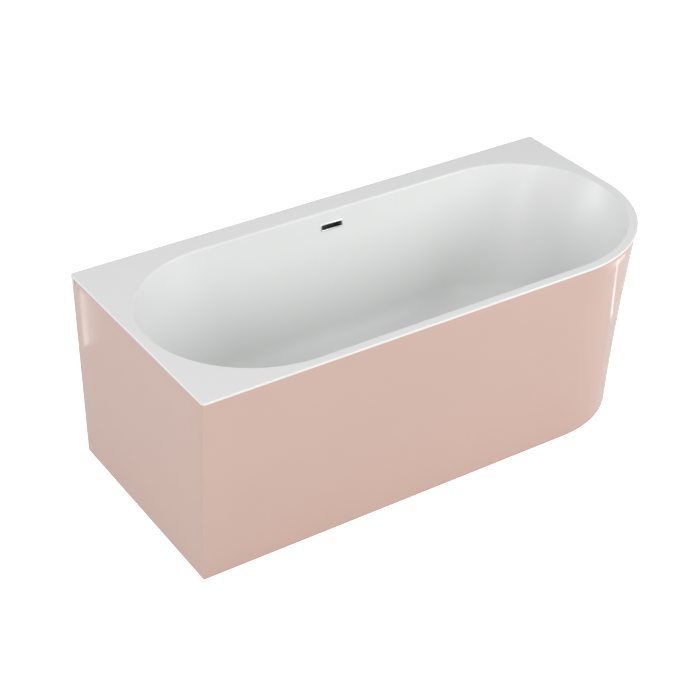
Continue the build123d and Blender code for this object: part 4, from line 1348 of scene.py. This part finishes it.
def makeGripTree():
    # round-ended ribs on a circle, standing half out of the ring that is given
    tree, sizes = startTree("gripRibs", {
        "Count": 24, "Circle": 0.03, "Rib Radius": 0.0012, "Low": 0.004, "Height": 0.014,
    })
    thick, tall = sizes["Rib Radius"], sizes["Height"]
    circle = addNode(tree, "GeometryNodeMeshCircle", {"Vertices": sizes["Count"], "Radius": sizes["Circle"]})
    half = calc(tree, "MULTIPLY", tall, 0.5)
    parts = [addNode(tree, "GeometryNodeMeshCylinder", {"Vertices": 12, "Radius": thick, "Depth": tall})]
    for side in (1.0, -1.0):
        knob = addNode(tree, "GeometryNodeMeshUVSphere", {"Segments": 12, "Rings": 8, "Radius": thick})
        parts.append(moved(tree, knob, vector(tree, z=calc(tree, "MULTIPLY", half, side))))
    rib = joined(tree, *parts)
    ribs = addNode(tree, "GeometryNodeInstanceOnPoints", {"Points": circle, "Instance": rib})
    rise = vector(tree, z=calc(tree, "ADD", sizes["Low"], half))
    ribs = moved(tree, ribs, rise)
    return endTree(tree, joined(tree, sizes["Geometry"], ribs), sizes["Finish"])


def handNutProfile(size):
    # round the wall of the ring, from the lip or open end at height 0 upwards
    outer, bore, lip, thick, tall = size["outer"], size["bore"], size["lip"], size["lipThick"], size["height"]
    edge, slope = 0.0008, 0.0026
    outside = [
        (outer - slope - edge, 0), (outer - slope, edge * 0.3),
        (outer - edge * 0.3, slope), (outer, slope + edge),
        (outer, tall - edge * 1.5), (outer - edge * 0.4, tall - edge * 0.5), (outer - edge * 1.4, tall),
    ]
    inside = [
        (bore + edge, tall), (bore, tall - edge), (bore, thick), (lip + edge * 0.4, thick),
        (lip, thick - edge * 0.4), (lip, edge * 0.4), (lip + edge * 0.4, 0),
    ]
    profile = outside + inside
    return profile if size["lipLow"] else [(radius, tall - z) for radius, z in profile]


def makeHandNuts():
    tree = makeGripTree()
    for node, size in handNuts.items():
        ring = turnedMesh(node + "Ring", handNutProfile(size), 96)
        inset = 0.0 if size["lipLow"] else size["gripRadius"]
        values = {
            "Count": size["grips"], "Circle": size["outer"] - inset * 0.9, "Rib Radius": size["gripRadius"],
            "Low": 0.0042 if size["lipLow"] else 0.0022, "Height": size["height"] - 0.0078,
        }
        piece = grow("handNut." + node, ring, tree, values, finishes[slotOf[node]])
        turn = Matrix.Rotation(pi / 2, 4, "X") if size["facing"] == "front" else Matrix.Identity(4)
        piece.data.transform(Matrix.Translation(size["place"]) @ turn)
        smoothUnder(piece.data, 38)
        placePiece(piece, "bath", slotOf[node], node)


makeHandNuts()
print("stage: hand nuts")


# Overflow hose: ribs follow the route from the overflow box down to the waste

hose = {
    "route": [(0.0, 0.322, 0.512), (0.0, 0.322, 0.400), (0.0, 0.322, 0.104), (0.0, 0.042, 0.104)],
    "crest": 0.0150, "valley": 0.0130, "cuff": 0.032, "cuffRadius": 0.0146, "bore": 0.0115,
    "pitch": 0.009, "step": 0.0011, "sides": 36,
}


def makeHoseTree():
    tree, sizes = startTree("ribbedHose", {
        "Crest": 0.015, "Valley": 0.013, "Cuff Length": 0.032, "Cuff Radius": 0.0146, "Bore": 0.0115,
        "Rib Pitch": 0.009, "Step": 0.0011, "Sides": 36,
    })
    line = resampled(tree, sizes["Geometry"], sizes["Step"])
    along = addNode(tree, "GeometryNodeSplineParameter", {}, "Length")
    whole = addNode(tree, "GeometryNodeSplineLength", {}, "Length")
    fromEnd = calc(tree, "MINIMUM", along, calc(tree, "SUBTRACT", whole, along))
    ribbed = calc(tree, "SUBTRACT", fromEnd, sizes["Cuff Length"])
    phase = calc(tree, "PINGPONG", calc(tree, "DIVIDE", ribbed, sizes["Rib Pitch"]), 0.5)
    rise = addNode(tree, "ShaderNodeMapRange", {
        "Value": phase, "From Min": 0.14, "From Max": 0.31,
        "To Min": sizes["Valley"], "To Max": sizes["Crest"],
    }, "Result", interpolation_type="SMOOTHSTEP")
    inRibs = calc(tree, "GREATER_THAN", ribbed, 0.0)
    choice = {0: inRibs, 1: sizes["Cuff Radius"], 2: rise}
    radius = addNode(tree, "GeometryNodeSwitch", choice, input_type="FLOAT")
    around = addNode(tree, "GeometryNodeCurvePrimitiveCircle", {"Resolution": sizes["Sides"], "Radius": 1.0})
    outside, inside = (
        addNode(tree, "GeometryNodeCurveToMesh", {"Curve": line, "Profile Curve": around, "Scale": scale})
        for scale in (radius, sizes["Bore"])
    )
    inside = addNode(tree, "GeometryNodeFlipFaces", {"Mesh": inside})
    return endTree(tree, joined(tree, outside, inside), sizes["Finish"])


def routeCurve(name, route):
    curve = bpy.data.curves.new(name, "CURVE")
    curve.dimensions = "3D"
    spline = curve.splines.new("NURBS")
    spline.points.add(len(route) - 1)
    for point, place in zip(spline.points, route):
        point.co = (*place, 1)
    spline.order_u = 3
    spline.use_endpoint_u = True
    spline.resolution_u = 48
    return curve


def routePoints(curve):
    # the smooth line itself, as Blender draws it
    line = bpy.data.objects.new("route", curve)
    bpy.context.scene.collection.objects.link(line)
    graph = bpy.context.evaluated_depsgraph_get()
    mesh = bpy.data.meshes.new_from_object(line.evaluated_get(graph))
    points = [tuple(vert.co) for vert in mesh.vertices]
    bpy.data.objects.remove(line)
    bpy.data.meshes.remove(mesh)
    return points


def closeEnds(mesh):
    # rings of wall between the outside and the bore at both ends
    build = bmesh.new()
    build.from_mesh(mesh)
    rims = [edge for edge in build.edges if edge.is_boundary]
    middle = sum((edge.verts[0].co.z for edge in rims), 0.0) / len(rims)
    for end in (True, False):
        rim = [edge for edge in rims if (edge.verts[0].co.z > middle) == end]
        bmesh.ops.bridge_loops(build, edges=rim)
    bmesh.ops.recalc_face_normals(build, faces=build.faces)
    build.to_mesh(mesh)
    build.free()


def makeHose():
    line = routeCurve("hoseRoute", hose["route"])
    path = routePoints(line)
    values = {
        "Crest": hose["crest"], "Valley": hose["valley"], "Cuff Length": hose["cuff"],
        "Cuff Radius": hose["cuffRadius"], "Bore": hose["bore"], "Rib Pitch": hose["pitch"],
        "Step": hose["step"], "Sides": hose["sides"],
    }
    piece = grow("overflowHose", line, makeHoseTree(), values, finishes[slotOf["overflow_hose"]])
    closeEnds(piece.data)
    smoothUnder(piece.data, 60)
    placePiece(piece, "bath", slotOf["overflow_hose"], "overflow_hose")


makeHose()
print("stage: overflow hose")


# Every other rigid piece keeps its solid's shape, merged and smoothed


def smoothCopy(node, body):
    source = nodes[node]
    mesh = source.data.copy()
    build = bmesh.new()
    build.from_mesh(mesh)
    bmesh.ops.remove_doubles(build, verts=build.verts, dist=2e-6)
    build.to_mesh(mesh)
    build.free()
    mesh.name = node + ".smooth"
    piece = newPiece(node + ".smooth", mesh, finishes[slotOf[node]])
    smoothUnder(mesh, 32)
    placePiece(piece, body, slotOf[node], node)


def makeRest():
    madeElsewhere = {
        "bath_shell", "casing", "overflow_trim", "board_screws", "batten_screws", "bracket_screws",
        "weld_nuts", "lock_nuts", "overflow_hose", *handNuts,
    }
    madeElsewhere |= {"foot_rod_" + place for place in footPlaces}
    for body, members in frame["record"]["behaviour"]["bodies"].items():
        for node in members:
            if node not in madeElsewhere:
                smoothCopy(node, body)


makeRest()
print("stage: rigid pieces")
